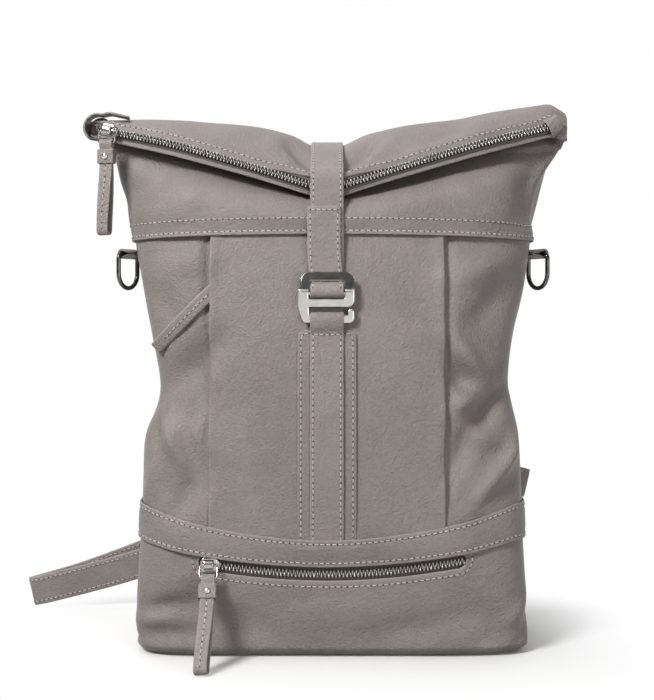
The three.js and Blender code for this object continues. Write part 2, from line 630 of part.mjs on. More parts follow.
function pullRing() {
  const half = PULL.ring / 2;
  const bottom = -PULL.drop - 2 * PULL.corner;
  const outline = roundRect(new THREE.Shape(), -half, half, bottom, 0, PULL.corner);
  const path = outline.getSpacedPoints(19).map((p) => vector(p.x, 0, p.y));
  return wireRing(path, vector(0, 1, 0), PULL.wire, 6);
}

// The leather tab: a strip that goes round the ring, down behind, round its lower end and up again in
// front, with its two ends under the keeper.
function pullTab() {
  const bar = -PULL.drop - 2 * PULL.corner; // the lower side of the ring
  const bend = PULL.wire + GAP + STRAP / 2;
  const flat = STRAP / 2 + GAP / 2;
  const foot = flat + PULL.belly; // radius of the loop's lower end
  const meet = (KEEPER.top + KEEPER.bottom) / 2;
  const inKeeper = GAP - KEEPER.top;
  const path = [
    vector(0, -flat, GAP - meet),
    vector(0, -flat, inKeeper),
    ...roundBar(0, bar, bend, 180, 0, 6),
    vector(0, flat, inKeeper),
    vector(0, flat, -KEEPER.bottom),
    vector(0, foot, -PULL.length * 0.6),
    ...roundBar(0, -PULL.length + foot + STRAP / 2, foot, 0, -180, 6),
    vector(0, -foot, -PULL.length * 0.6),
    vector(0, -flat, -KEEPER.bottom),
    vector(0, -flat, -GAP - meet),
  ];
  return strapAlong(path, STRAP_ACROSS, PULL.width, STRAP);
}

const KEEPER_HALF = { x: PULL.width / 2 + GAP, y: STRAP + 1.5 * GAP }; // inside the keeper

// The keeper: a short sleeve of leather round both layers of the tab.
function pullKeeper() {
  const { x, y } = KEEPER_HALF;
  const round = { inner: 0.4, outer: 1 };
  const [outX, outY] = [x + KEEPER.wall, y + KEEPER.wall];
  const outline = roundRect(new THREE.Shape(), -outX, outX, -outY, outY, round.outer);
  outline.holes.push(roundRect(new THREE.Path(), -x, x, -y, y, round.inner));
  const depth = KEEPER.bottom - KEEPER.top;
  return new THREE.ExtrudeGeometry(outline, { depth, bevelEnabled: false, curveSegments: 1 })
    .translate(0, 0, -KEEPER.bottom);
}

function rivet() {
  const profile = [[0, 0], [2.4, 0], [2.3, 0.7], [1.5, 1.4], [0, 1.7]];
  const front = KEEPER_HALF.y + KEEPER.wall + KEEPER.rivetGap;
  return new THREE.LatheGeometry(profile.map(([r, h]) => new THREE.Vector2(r, h)), 10)
    .rotateX(Math.PI).translate(0, -front, -(KEEPER.top + KEEPER.bottom) / 2);
}

function addPull(bag, name, hinge, lean, yaw) {
  const pull = new THREE.Group();
  pull.position.copy(hinge);
  pull.rotation.set(-lean, 0, yaw, "ZXY");
  bag.add(pull);
  piece(pull, `${name}_ring`, pullRing(), "gunmetal");
  piece(pull, `${name}_tab`, pullTab(), "lightLeather");
  piece(pull, `${name}_keeper`, pullKeeper(), "lightLeather");
  piece(pull, `${name}_rivet`, rivet(), "steel");
}

// Assembly

const bag = new THREE.Group();

piece(bag, "base_panel", basePanel(), "leather");

const slotTop = (x) => bandBottomAt(x) - SLOT.under;
const slotMiddle = (x) => slotTop(x) - SLOT.height / 2;
const slotBottom = (x) => slotTop(x) - SLOT.height;
const slotXs = spread(SLOT.left, SLOT.right, 21);
const slotTool = frontSheet(slotXs, slotBottom, slotTop, 2, -12, 20); // well past both faces of the wall
piece(bag, "lower_front", cut(lowerHalf(FRONT_TURNS), slotTool), "leather");
piece(bag, "lower_back", lowerHalf(BACK_TURNS), "leather");
piece(bag, "upper_front", upperHalf(FRONT_TURNS), "leather");
piece(bag, "upper_back", upperHalf(BACK_TURNS), "leather");
piece(bag, "seam_band", seamBand(), "leather");
piece(bag, "collar_front", collarHalf("front", 12), "leather");
piece(bag, "collar_back", collarHalf("back", 12), "leather");

const panelBottom = (x) => (bandTopAt(x) + bandBottomAt(x)) / 2 + PANEL_TUCK;
const panelXs = spread(-PANEL_HALF, PANEL_HALF, 17);
piece(bag, "front_panel", frontSheet(panelXs, panelBottom, () => PANEL_TOP, 9, GAP, PANEL), "leather");

const patchXs = [PATCH.left, PATCH.left + PATCH.round * 0.3, PATCH.left + PATCH.round, 0,
  PATCH.right - PATCH.round, PATCH.right - PATCH.round * 0.3, PATCH.right];
const patchTop = (x) => {
  const inside = Math.min(x - PATCH.left, PATCH.right - x, PATCH.round);
  return PATCH.top - PATCH.round + Math.sqrt(PATCH.round ** 2 - (PATCH.round - inside) ** 2);
};
const patchOff = 2 * GAP + PANEL;
const patchBottom = (x) => bandTopAt(x) + GAP;
piece(bag, "strip_patch", frontSheet(patchXs, patchBottom, patchTop, 8, patchOff, TRIM), "leather");

// Closure

const inPlane = (points) => points.map(({ y, z }) => vector(0, y, z));

function closureStrap() {
  const last = COLLAR_SEAM.length - 1;
  const off = 2 * GAP + STRAP / 2;
  const over = spread(0.7, last - 0.25, 15).map((row) => {
    const point = collarPoint(0, "back", row);
    const along = collarPoint(0, "back", row + 0.1).sub(collarPoint(0, "back", row - 0.1)).normalize();
    return vector(0, point.y + along.z * off, point.z - along.y * off);
  });
  const pinY = BUCKLE.y - Math.sin(rad(BUCKLE.lean)) * BUCKLE_PIN.z;
  const bend = BUCKLE_PIN.wire + GAP + STRAP / 2;
  const round = roundBar(pinY, BUCKLE.z + BUCKLE_PIN.z, bend, 0, -180, 7);
  const path = [...over, ...inPlane(CLOSURE_DOWN), ...round, ...inPlane(CLOSURE_UP)];
  return strapAlong(path, STRAP_ACROSS, STRAP_WIDTH, STRAP);
}
piece(bag, "closure_strap", closureStrap(), "lightLeather");

// The hook buckle: an upper frame that the closure strap is sewn to, and a lower bar, open at its
// right end, that hooks into the lower strap.
function hookBuckle() {
  const { left, right, height, plate, round } = BUCKLE;
  const { leg, foot, slotTop, middleTop, frameTop, mouth: mouthHeight } = BUCKLE_BARS;
  const outline = roundRect(new THREE.Shape(), left, right, 0, height, round);
  outline.holes.push(roundRect(new THREE.Path(), left + leg, right - leg, middleTop, frameTop, 2.5));
  outline.holes.push(roundRect(new THREE.Path(), left + leg, right - leg, foot, slotTop, 1.5));
  const body = new THREE.ExtrudeGeometry(outline, { depth: plate, bevelEnabled: false, curveSegments: 4 })
    .rotateX(Math.PI / 2).translate(0, plate / 2, 0);
  const mouthCut = box(leg + 4, plate * 2, mouthHeight, right - leg / 2, 0, slotTop - mouthHeight / 2);
  const bar = new THREE.CylinderGeometry(BUCKLE_PIN.wire, BUCKLE_PIN.wire, right - left - leg, 10)
    .rotateZ(Math.PI / 2).translate((left + right) / 2, 0, BUCKLE_PIN.z);
  return join(cut(body, mouthCut), bar);
}
const buckle = piece(bag, "hook_buckle", hookBuckle(), "steel");
buckle.position.set(0, BUCKLE.y, BUCKLE.z);
buckle.rotation.x = rad(BUCKLE.lean);

function hookStrap() {
  const bend = BUCKLE.plate / 2 + GAP + STRAP / 2;
  const over = roundBar(BUCKLE.y, BUCKLE.z + HOOK_LIFT, bend, 0, 180, 9);
  const off = patchOff + TRIM + GAP + STRAP / 2;
  const strip = spread(240, bandTopAt(0) + GAP, 9).map((z) => vector(0, frontY(0, z) - off, z));
  const path = [...inPlane(HOOK_BEHIND), ...over, ...inPlane(HOOK_FRONT), ...strip];
  return strapAlong(path, STRAP_ACROSS, STRAP_WIDTH, STRAP);
}
piece(bag, "hook_strap", hookStrap(), "lightLeather");

// Zips

const tapeFace = ZIP.tape / 2;
const chainNear = tapeFace + ZIP.chainGap;
const chainFar = chainNear + ZIP.chainDepth;
const chainReaches = spread(TOP_ZIP.chainFrom, TOP_ZIP.chainTo, 25);
const tapeReaches = [-TOP_ZIP.tape, ...chainReaches, TOP_ZIP.tape];
const topTape = mouthBar(tapeReaches, ZIP.tapeHalf, -tapeFace, tapeFace);
const topChain = mouthBar(chainReaches, ZIP.chain / 2, chainNear, chainFar);
piece(bag, "top_zip_tape", topTape, "tape");
piece(bag, "top_zip_chain", topChain, "chain");

const topMouth = mouth(TOP_ZIP.slider);
const topSlider = piece(bag, "top_zip_slider", sliderSolid(), "gunmetal");
const sliderOff = chainNear + SLIDER.off + SLIDER.depth / 2;
topSlider.position.copy(topMouth.middle).addScaledVector(topMouth.out, sliderOff);
topSlider.quaternion.setFromRotationMatrix(
  new THREE.Matrix4().makeBasis(topMouth.along, topMouth.out.clone().negate(), topMouth.up));
const topHinge = topSlider.position.clone().addScaledVector(topMouth.out, HINGE_OUT);
addPull(bag, "top_pull", topHinge, 0, Math.atan2(topMouth.along.y, topMouth.along.x));

const tapeXs = spread(SLOT.left - ZIP.tapeMargin, SLOT.right + ZIP.tapeMargin, 17);
const chainXs = spread(BOTTOM_ZIP.chainFrom, BOTTOM_ZIP.chainTo, 19);
const barAt = (half) => [(x) => slotMiddle(x) - half, (x) => slotMiddle(x) + half];
const tapeOff = -WALL - TAPE_GAP - ZIP.tape;
const tapeReach = SLOT.height / 2 + ZIP.tapeMargin;
piece(bag, "bottom_zip_tape", frontSheet(tapeXs, ...barAt(tapeReach), 2, tapeOff, ZIP.tape), "tape");
const bottomChain = frontSheet(chainXs, ...barAt(ZIP.chain / 2), 2, -WALL, ZIP.chainDepth);
piece(bag, "bottom_zip_chain", bottomChain, "chain");

const bottomSlider = piece(bag, "bottom_zip_slider", sliderSolid(), "gunmetal");
const sliderZ = slotMiddle(BOTTOM_ZIP.slider);
const sliderY = frontY(BOTTOM_ZIP.slider, sliderZ) + WALL - GAP - SLIDER.depth / 2;
bottomSlider.position.set(BOTTOM_ZIP.slider, sliderY, sliderZ);
const bottomHinge = bottomSlider.position.clone().add(vector(0, -HINGE_OUT, 0));
addPull(bag, "bottom_pull", bottomHinge, rad(BOTTOM_ZIP.lean), 0);

// Leather ends of the top zip

function zipLoop() {
  const { x, y, z, radius, width, from, to } = ZIP_LOOP;
  const path = spread(from, to, 11).map((angle) =>
    vector(x + radius * Math.cos(rad(angle)), y, z + radius * Math.sin(rad(angle))));
  return strapAlong(path, vector(0, 1, 0), width, STRAP);
}
piece(bag, "zip_end_left", zipLoop(), "leather");

function zipTab() {
  const { middle, up, along, out } = mouth(ZIP_TAB.reach);
  const path = ZIP_TAB_BOW.map((row) =>
    middle.clone().addScaledVector(up, row.up).addScaledVector(out, row.out));
  return strapAlong(path, along, ZIP_TAB.width, STRAP);
}
piece(bag, "zip_end_right", zipTab(), "leather");

// Side rings in their leather loops, and the pull under the left pleat

// The loop leaves the side seam square to the body and bends backwards on its way to the ring.
function ringHolder(side) {
  const root = bodyPoint(side < 0 ? Math.PI + 0.02 : -0.02, RING.z);
  const bend = (Math.tan(rad(RING.turn)) * RING.reach) / 2;
  const at = (o) => root.clone().add(vector(side * o, bend * (o / RING.reach) ** 2, 0));
  const out = vector(side * Math.cos(rad(RING.turn)), Math.sin(rad(RING.turn)), 0);
  const bar = vector(side * Math.sin(rad(RING.turn)), -Math.cos(rad(RING.turn)), 0);
  return { at, out, bar, centre: at(RING.reach) };
}

function ringLoop(side) {
  const { at, out, bar, centre } = ringHolder(side);
  const bend = RING.wire + GAP + STRAP / 2;
  const up = (height) => vector(0, 0, height);
  const layer = (sign) => RING_LAYERS.map((row) => at(row.out).add(up(sign * row.apart)));
  const round = spread(75, -75, 7).map((angle) => centre.clone()
    .addScaledVector(out, bend * Math.cos(rad(angle))).add(up(bend * Math.sin(rad(angle)))));
  const path = [...layer(1), ...round, ...layer(-1).reverse()];
  return strapAlong(path, bar, RING.loop, STRAP);
}

function sideRing(side) {
  const { bar, out } = ringHolder(side);
  const { half, drop } = RING;
  const straight = spread(-1, 1, 5).slice(0, -1).map((share) => [share * half, 0]);
  const round = spread(0, 180, 15).map((angle) =>
    [half * Math.cos(rad(angle)), half - drop - half * Math.sin(rad(angle))]);
  const path = [...straight, [half, 0], ...round].map(([across, z]) =>
    bar.clone().multiplyScalar(across).setZ(z));
  return wireRing(path, out, RING.wire, 6);
}

for (const [side, name] of [[-1, "left"], [1, "right"]]) {
  piece(bag, `ring_loop_${name}`, ringLoop(side), "leather");
  const ring = piece(bag, `d_ring_${name}`, sideRing(side), "gunmetal");
  ring.position.copy(ringHolder(side).centre);
}

function sidePull() {
  const { fromX, fromZ, toX, toZ, tail, width, thickness } = SIDE_PULL;
  const off = GAP + thickness / 2;
  const on = (x, z) => vector(x, frontY(x, z), z);
  const facing = (x, z) => on(x + 1, z).sub(on(x - 1, z)).cross(on(x, z + 1).sub(on(x, z - 1))).normalize();
  const path = spread(0, 1, 6).map((t) => {
    const [x, z] = [lerp(fromX, toX, t), lerp(fromZ, toZ, t)];
    return on(x, z).addScaledVector(facing(x, z), off);
  });
  const ahead = path.at(-1).clone().sub(path.at(-2)).setLength(tail);
  path.push(path.at(-1).clone().add(ahead));
  const across = path.map((point, i) => {
    const next = path[Math.min(i + 1, path.length - 1)].clone().sub(path[Math.max(i - 1, 0)]);
    return facing(Math.max(point.x, toX), point.z).cross(next);
  });
  return strapSolid(path, across, width, thickness);
}
piece(bag, "side_pull", sidePull(), "lightLeather");

// Straps behind the bag

function routedStrap(route, side, steps, size) {
  const points = route.map(({ x, y, z }) => vector(x * side, y, z));
  const across = route.map(({ turn, yaw }) => vector(
    Math.cos(rad(turn)) * Math.cos(rad(yaw)) * side,
    Math.cos(rad(turn)) * Math.sin(rad(yaw)),
    -Math.sin(rad(turn)),
  ));
  return strapSolid(curvePoints(points, steps), curvePoints(across, steps), size.width, size.thickness);
}
piece(bag, "shoulder_strap_left", routedStrap(SHOULDER_ROUTE, -1, 19, SHOULDER), "leather");
piece(bag, "shoulder_strap_right", routedStrap(SHOULDER_ROUTE, 1, 19, SHOULDER), "leather");
piece(bag, "lower_strap_left", routedStrap(LEFT_ROUTE, 1, 45, LOWER_STRAP), "lightLeather");
piece(bag, "lower_strap_right", routedStrap(RIGHT_ROUTE, 1, 22, LOWER_STRAP), "lightLeather");

export default bag;
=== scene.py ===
"""Roll-top backpack in soft taupe leather: fine geometry, materials, light and camera for the frame."""

import math
from types import SimpleNamespace as Sizes

import bpy
import numpy as np
from mathutils import Matrix, Vector


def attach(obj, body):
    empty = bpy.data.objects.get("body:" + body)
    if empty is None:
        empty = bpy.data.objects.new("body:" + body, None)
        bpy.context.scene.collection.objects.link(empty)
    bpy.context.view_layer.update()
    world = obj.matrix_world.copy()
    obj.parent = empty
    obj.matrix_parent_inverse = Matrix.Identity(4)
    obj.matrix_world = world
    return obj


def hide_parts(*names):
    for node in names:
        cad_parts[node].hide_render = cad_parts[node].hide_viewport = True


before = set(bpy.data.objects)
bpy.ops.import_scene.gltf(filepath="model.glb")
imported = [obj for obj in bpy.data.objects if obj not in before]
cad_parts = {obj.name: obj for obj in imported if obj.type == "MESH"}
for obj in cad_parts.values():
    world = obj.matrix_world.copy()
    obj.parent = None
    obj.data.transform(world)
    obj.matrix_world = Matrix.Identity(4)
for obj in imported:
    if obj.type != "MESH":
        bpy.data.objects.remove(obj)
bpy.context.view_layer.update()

# Metres in a millimetre
MM = 0.001
# Sizes in millimetres, most of them those of the solids; HOOK_LIFT and the tail of SIDE_PULL differ
WALL = 2.0
GAP = 0.4
PANEL = 1.5
TRIM = 1.6
STRAP = 1.8
STRAP_WIDTH = 25.0
PANEL_HALF = 88.0
PANEL_TUCK = 3.0
PANEL_EASE = (4.0, 30.0)
BODY_TOP = 325.0
WAIST = 203.0
PANEL_TOP = 321.0
HEM_Z = 316.0
HEM_DROP = 3.0
BAND = Sizes(top=88.0, bottom=69.5, top_rise=24.0, bottom_rise=17.5, reach=140.0, curve=1.9)
SLOT = Sizes(left=-96.0, right=104.0, height=12.0, under=0.5, round=6.0)
SLOT_SIDES = 62.0
ZIP = Sizes(tape=1.2, tape_margin=4.0, tape_gap=0.9, chain_gap=0.3, pitch=2.7)
TOP_ZIP = Sizes(tape=0.94, slider=-0.905, chain_to=0.91)
BOTTOM_ZIP = Sizes(slider=-87.0, chain_from=-79.4, chain_to=102.0, lean=30.0)
PULL = Sizes(ring=13.0, wire=0.8, drop=5.2, corner=2.2, width=10.4, length=80.0, belly=1.6)
KEEPER = Sizes(top=14.5, bottom=25.3, wall=1.0, rivet_gap=0.3)
SLIDER = Sizes(length=10.0, height=9.0, depth=4.0, bridge=7.0, tunnel=3.0, span=6.0, wall=1.0, off=0.6)
BUCKLE = Sizes(left=-20.6, right=19.8, plate=3.2, y=-71.7, z=249.5, lean=4.2)
BUCKLE_PIN = Sizes(z=21.0, wire=1.5, inset=3.0)
HOOK_LIFT = 3.5
PATCH = Sizes(left=-21.8, right=21.8, top=243.5, round=5.0)
RING = Sizes(half=11.6, drop=27.0, wire=1.8, reach=8.6, z=303.0, turn=30.0)
SIDE_PULL = Sizes(width=10.6, thickness=3.0, from_x=-92.0, from_z=266.5, to_x=-121.5, to_z=237.5, tail=12.0)
SHOULDER = Sizes(width=36.0, thickness=4.0)
LOWER_STRAP = Sizes(width=25.0, thickness=2.4)


def table(names, *rows):
    return dict(zip(names.split(), np.array(rows, float).T))


BODY = table(
    "z left right front back square",
    (0, 142.3, 149.6, 61.5, 58, 7.5),
    (2.5, 144.9, 152.4, 64.5, 61, 7.5),
    (8, 146, 153.5, 66, 62.5, 7.5),
    (30, 146, 152.9, 68.5, 63, 6.5),
    (65, 144.9, 152.3, 70.5, 63, 5.5),
    (105, 142.7, 151.2, 70.5, 63, 4.6),
    (130, 142.8, 150.7, 70, 63, 4),
    (162, 141.4, 149.4, 69.5, 62.5, 3.6),
    (186, 132.6, 145.3, 69, 62, 3.4),
    (203, 130.6, 142.4, 68.5, 61.5, 3.4),
    (240, 137, 145.9, 66.5, 60, 3.4),
    (273, 143.5, 153.6, 63, 58, 3.3),
    (306, 149.6, 159, 58, 54, 3.2),
    (326, 152, 161, 54, 50, 3.1),
)
# Dents of the front that the solids have too: middle, direction, half length, half width, depth
FOLDS = table(
    "x z tilt length width depth",
    (-118, 196, 70, 34, 13, 4.5),
    (122, 198, -35, 34, 12, 4.5),
    (118, 166, -50, 36, 12, 3.5),
    (124, 240, 60, 36, 16, 3),
    (-116, 30, 35, 36, 14, 3.5),
    (-48, 32, 10, 44, 15, 2.5),
    (112, 30, -40, 38, 14, 3.5),
)
# Finer dents (positive depth) and ridges (negative), placed along the body's surface from the middle
FINE_FOLDS = table(
    "x z tilt length width depth",
    (106, 288, 18, 20, 9, -4.0),
    (120, 262, 50, 28, 13, 5.0),
    (110, 219, -48, 26, 7, -6.8),
    (100, 206, -48, 16, 7, 6.2),
    (103, 191, 35, 15, 7, -6.8),
    (126, 187, 38, 17, 5, 6.8),
    (116, 175, 30, 18, 6, 4.9),
    (113, 163, -28, 17, 6, -5.9),
    (95, 152, 70, 18, 8, 5.4),
    (122, 134, 48, 28, 6, -6.2),
    (134, 124, 50, 20, 6, 1.6),
    (136, 150, 62, 16, 5, -4.1),
    (-98, 292, 20, 20, 10, -3.0),
    (-118, 262, -40, 26, 12, 3.0),
    (-100, 217, 42, 30, 11, 8.1),
    (-97, 196, 86, 26, 7, 5.4),
    (-124, 190, 60, 20, 8, -3.2),
    (-128, 166, 100, 20, 6, 5.4),
    (-110, 161, -48, 26, 7, -6.2),
    (-94, 150, -60, 18, 7, 4.6),
    (-96, 122, 70, 18, 8, 5.1),
    (-124, 134, 60, 26, 9, -3.2),
    (-113, 37, 8, 22, 6, 4.0),
    (-120, 27, 4, 22, 5, -3.4),
    (-106, 17, 0, 24, 6, 3.8),
    (-61, 25, -15, 42, 12, 3.0),
    (0, 34, 4, 40, 12, -1.8),
    (60, 22, 12, 38, 10, 2.6),
    (120, 16, 24, 22, 6, 2.0),
    (136, 29, 40, 22, 5, -2.4),
    (-150, 10, -10, 16, 4, 2.4),
    (150, 20, 42, 20, 5.5, 2.8),
    (-170, 200, 80, 30, 12, 3.0),
    (172, 196, 100, 32, 12, 3.0),
    (-176, 60, 70, 34, 14, 2.8),
    (178, 60, 110, 34, 14, 2.8),
)
COLLAR_SEAM = table(
    "left right y z square",
    (153, 162.5, 0, 312, 3.4),
    (158, 167, -1, 335, 3.4),
    (161.5, 172, -4, 356, 4),
    (166, 180.5, -9, 377, 5),
    (172.5, 186, -15, 393, 6),
    (179.5, 186.5, -20, 397, 7),
    (184, 185.5, -27, 396, 8),
)
COLLAR_FRONT = table(
    "centre_y centre_z middle_y middle_z outer_y outer_z rise pinch",
    (-60.5, 316, -57, 315, -55, 313, 0, 0),
    (-61, 329, -58.5, 331, -55, 333, 0, 0),
    (-53, 341, -51, 351, -44, 356, 1, 0.6),
    (-32, 350, -33, 369, -30, 377, 2, 0.9),
    (-14, 362, -14, 386, -17, 391, 4, 1),
    (-32, 358, -29, 383, -23, 392, 4, 1.1),
    (-57, 344.5, -46, 373, -33, 388, 4, 1.1),
)
COLLAR_BACK = table(
    "centre_y centre_z middle_y middle_z outer_y outer_z rise pinch",
    (55, 312, 53, 312, 51, 312, 0, 0),
    (51, 335, 49, 336, 46, 337, 0, 0),
    (43, 357, 38, 364, 30, 366, 1, 1),
    (28, 376, 24, 394, 14, 394, 8, 2.4),
    (4, 389.5, -2, 408, -8, 408, 16.5, 2.9),
    (-30, 379, -28, 401, -24, 407, 13, 2),
    (-57.5, 360, -46, 391, -33, 405, 4, 1.1),
)
COLLAR_MIDDLE = 0.52
COLLAR_OUTER = 0.86
COLLAR_FLAT = 0.075
# Dents and ridges of the roll-top's front and of its flap, by place across and height
COLLAR_FOLDS = table(
    "x z tilt length width depth",
    (160, 352, 80, 40, 15, 10.0),
    (112, 340, -40, 26, 12, -2.4),
    (60, 338, 12, 36, 9, -1.6),
    (-60, 336, -10, 36, 10, -1.8),
    (-140, 352, 30, 28, 11, 4.0),
    (-104, 342, 50, 22, 10, -2.2),
)
FLAP_FOLDS = table(
    "x z tilt length width depth",
    (-20, 376, -50, 18, 5, 5.4),
    (-31, 371, -42, 18, 6, -2.6),
    (22, 375, 44, 20, 6, 8.0),
    (34, 371, 40, 20, 6, -3.4),
    (-42, 384, 40, 20, 9, -1.6),
    (44, 384, -40, 20, 9, -1.6),
    (96, 398, 30, 26, 8, 1.8),
    (-104, 398, -20, 28, 9, 1.6),
)
# Paths in the middle plane, as Y and Z: the closure strap down to its bar and back up in front, then the
# hook strap behind the buckle and just below its hook
CLOSURE_DOWN = ((-59.4, 362.4), (-61.4, 358.4), (-62, 352), (-62.6, 336), (-63.2, 318), (-63.9, 302),
                (-64.6, 290), (-65.9, 282), (-69.5, 275.5))
CLOSURE_UP = ((-75.2, 273.8), (-72.2, 277), (-69.2, 279.9), (-67.6, 284.5), (-66.9, 290), (-66.2, 302),
              (-65.4, 318), (-65, 334.8))
HOOK_BEHIND = ((-69.3, 244.4), (-68.9, 249))
HOOK_FRONT = ((-74.3, 247),)
ZIP_LOOP = Sizes(x=-175.8, y=-30.5, z=398.3, radius=10.3, width=13.0, start=74.0, stop=226.0)
TAB_WIDTH = 11.0
# The two layers of a ring's loop: the way out from the body, and the way up or down from the middle
RING_LAYERS = ((0.9, 1.15), (4.6, 1.8), (7.4, 2.9))
# Paths of the straps behind: X, Y and Z, then the turn and the yaw of the way across, in degrees
SHOULDER_ROUTE = (
    (38, 57.6, 303, -12, 0),
    (41, 60, 288, -16, 0),
    (52, 74, 262, -24, 0),
    (72, 91, 226, -29, 0),
    (97, 99, 185, -29, 0),
    (117, 97, 148, -24, 0),
    (127, 91.5, 108, -10, 0),
)
RIGHT_ROUTE = (
    (122, 62.2, 30, 0, -10),
    (122, 61.6, 50, 0, -10),
    (123, 64.5, 70, 0, -9),
    (124.5, 74, 88, 2, -4),
    (127.5, 82, 100, 18, 0),
    (135, 86, 110, 48, 0),
    (150, 88, 114.5, 84, 0),
    (172, 87.5, 110, 104, 0),
)
LEFT_ROUTE = (
    (-122, 61.4, 30, 0, 15),
    (-122, 60.7, 50, 0, 15),
    (-123, 63.5, 70, 0, 13),
    (-124.5, 74, 90, 0, 5),
    (-125, 80.5, 106, 0, 0),
    (-125, 83.5, 110.5, 0, 0),
    (-125, 86.5, 106, 0, 0),
    (-125.5, 88, 94, 4, 0),
    (-127, 91, 80, 14, 0),
    (-132, 95, 65, 34, 0),
    (-143, 98.5, 54, 54, 0),
    (-160, 102, 46, 66, 0),
    (-185, 106, 36, 69, 0),
    (-215, 108.5, 25, 71, 0),
    (-240, 109, 17.5, 74, 0),
    (-254, 108.6, 13.6, 76, 0),
    (-258.5, 106.3, 12.6, 77, 0),
    (-254, 104, 13.4, 76, 0),
    (-240, 102.6, 16.8, 74, 0),
    (-215, 100, 23.5, 72, 0),
    (-185, 97, 32, 72, 0),
    (-160, 93.5, 40, 74, 0),
    (-142, 89, 45, 76, 0),
)

# Curves and surfaces


def unit(vectors):
    return vectors / np.maximum(np.linalg.norm(vectors, axis=-1, keepdims=True), 1e-9)


def square_to(vectors, direction):
    """Unit vectors square to a direction, from vectors that lean along it."""
    return unit(vectors - direction * np.sum(vectors * direction, axis=-1, keepdims=True))


def smoothstep(low, high, value):
    t = np.clip((value - low) / (high - low), 0, 1)
    return t * t * (3 - 2 * t)


def hermite(start, end, slope_start, slope_end, t):
    t2 = t * t
    t3 = t2 * t
    return ((2 * t3 - 3 * t2 + 1) * start + (t3 - 2 * t2 + t) * slope_start
            + (3 * t2 - 2 * t3) * end + (t3 - t2) * slope_end)


def row_at(columns, key, value):
    """The columns of a table at values of its key column, as smooth curves through its rows."""
    knots = columns[key]
    low = np.clip(np.searchsorted(knots, value, side="right") - 1, 0, len(knots) - 2)
    span = knots[low + 1] - knots[low]
    t = np.clip((value - knots[low]) / span, 0, 1)
    order = np.arange(len(knots))
    before = np.maximum(order - 1, 0)
    after = np.minimum(order + 1, len(knots) - 1)
    found = {}
    for name, column in columns.items():
        slope = (column[after] - column[before]) / (knots[after] - knots[before])
        found[name] = hermite(column[low], column[low + 1], slope[low] * span, slope[low + 1] * span, t)
    return found


def through(points, at):
    """Points on the curve through a list of points, with the whole numbers at the points themselves."""
    points = np.asarray(points, float)
    last = len(points) - 1
    low = np.minimum(np.floor(at).astype(int), last - 1)
    shape = (len(low),) + (1,) * (points.ndim - 1)
    a = points[low]
    b = points[low + 1]
    slope_a = (b - points[np.maximum(low - 1, 0)]) * np.where(low > 0, 0.5, 1).reshape(shape)
    slope_b = (points[np.minimum(low + 2, last)] - a) * np.where(low < last - 1, 0.5, 1).reshape(shape)
    return hermite(a, b, slope_a, slope_b, (at - low).reshape(shape))


def lengths_along(points):
    steps = np.linalg.norm(np.diff(points, axis=0), axis=-1)
    return np.concatenate([[0], np.cumsum(steps)])


def at_lengths(wanted, lengths, values):
    """Vectors at wanted lengths along a line, from those at its own points."""
    return np.stack([np.interp(wanted, lengths, column) for column in values.T], -1)


def rows_between(low, high, count):
    """Rows of heights in even steps from one line of heights to another."""
    shares = np.linspace(0, 1, count)[:, None]
    return low * (1 - shares) + high * shares


def even_path(points, step):
    """The smooth curve through points, with about the same step between the points it gives back."""
    knots = lengths_along(np.asarray(points, float))
    columns = dict(length=knots)
    for axis, values in zip("xyz", np.asarray(points, float).T):
        columns[axis] = values
    count = max(4, int(round(knots[-1] / step)) + 1)
    found = row_at(columns, "length", np.linspace(0, knots[-1], count))
    return np.stack([found["x"], found["y"], found["z"]], -1)


def signed_power(value, exponent):
    return np.sign(value) * np.abs(value) ** exponent


def folds_at(folds, x, z):
    depth = np.zeros(np.broadcast(x, z).shape)
    for fx, fz, tilt, length, width, deep in zip(*folds.values()):
        c = math.cos(math.radians(tilt))
        s = math.sin(math.radians(tilt))
        along = ((x - fx) * c + (z - fz) * s) / length
        across = ((z - fz) * c - (x - fx) * s) / width
        depth = depth + deep * np.exp(-along * along - across * across)
    return depth


WAIST_SQUARE = 3.4
FOLD_FADE = 0.45


def body(turn, z, out=0.0):
    """Points of the body at heights, moved out by some millimetres, at turns round its waist."""
    turn, z, out = np.broadcast_arrays(turn, z, out)
    row = row_at(BODY, "z", z)
    c = np.cos(turn)
    s = np.sin(turn)
    share = np.abs(c) ** (2 / WAIST_SQUARE)
    depth = np.maximum(0, 1 - share ** row["square"]) ** (1 / row["square"])
    x = np.sign(c) * share * (np.where(c < 0, row["left"], row["right"]) + out)
    y = np.sign(s) * depth * (np.where(s < 0, row["front"], row["back"]) + out)
    y = y + np.where(s < 0, folds_at(FOLDS, x, z) * np.minimum(1, depth / FOLD_FADE), 0)
    return np.stack([x, y, z], -1)


def plain_front_y(x, z):
    """The front of the body with the dents of the solids alone."""
    x, z = np.broadcast_arrays(x, z)
    row = row_at(BODY, "z", z)
    share = np.abs(x) / np.where(x < 0, row["left"], row["right"])
    return -row["front"] * (1 - share ** row["square"]) ** (1 / row["square"]) + folds_at(FOLDS, x, z)


def front_y(x, z):
    return plain_front_y(x, z) + folds_at(FINE_FOLDS, x, z)


def rising_at(x):
    return np.minimum(1, np.abs(x) / BAND.reach) ** BAND.curve


def rising(turn):
    return np.where(np.sin(turn) > 0, 1, rising_at(body(turn, BAND.top)[..., 0]))


def band_top(turn):
    return BAND.top + BAND.top_rise * rising(turn)


def band_bottom(turn):
    return BAND.bottom + BAND.bottom_rise * rising(turn)


def band_middle(turn):
    return (band_top(turn) + band_bottom(turn)) / 2


def hem_height(turn):
    return HEM_Z - HEM_DROP * rising(turn)


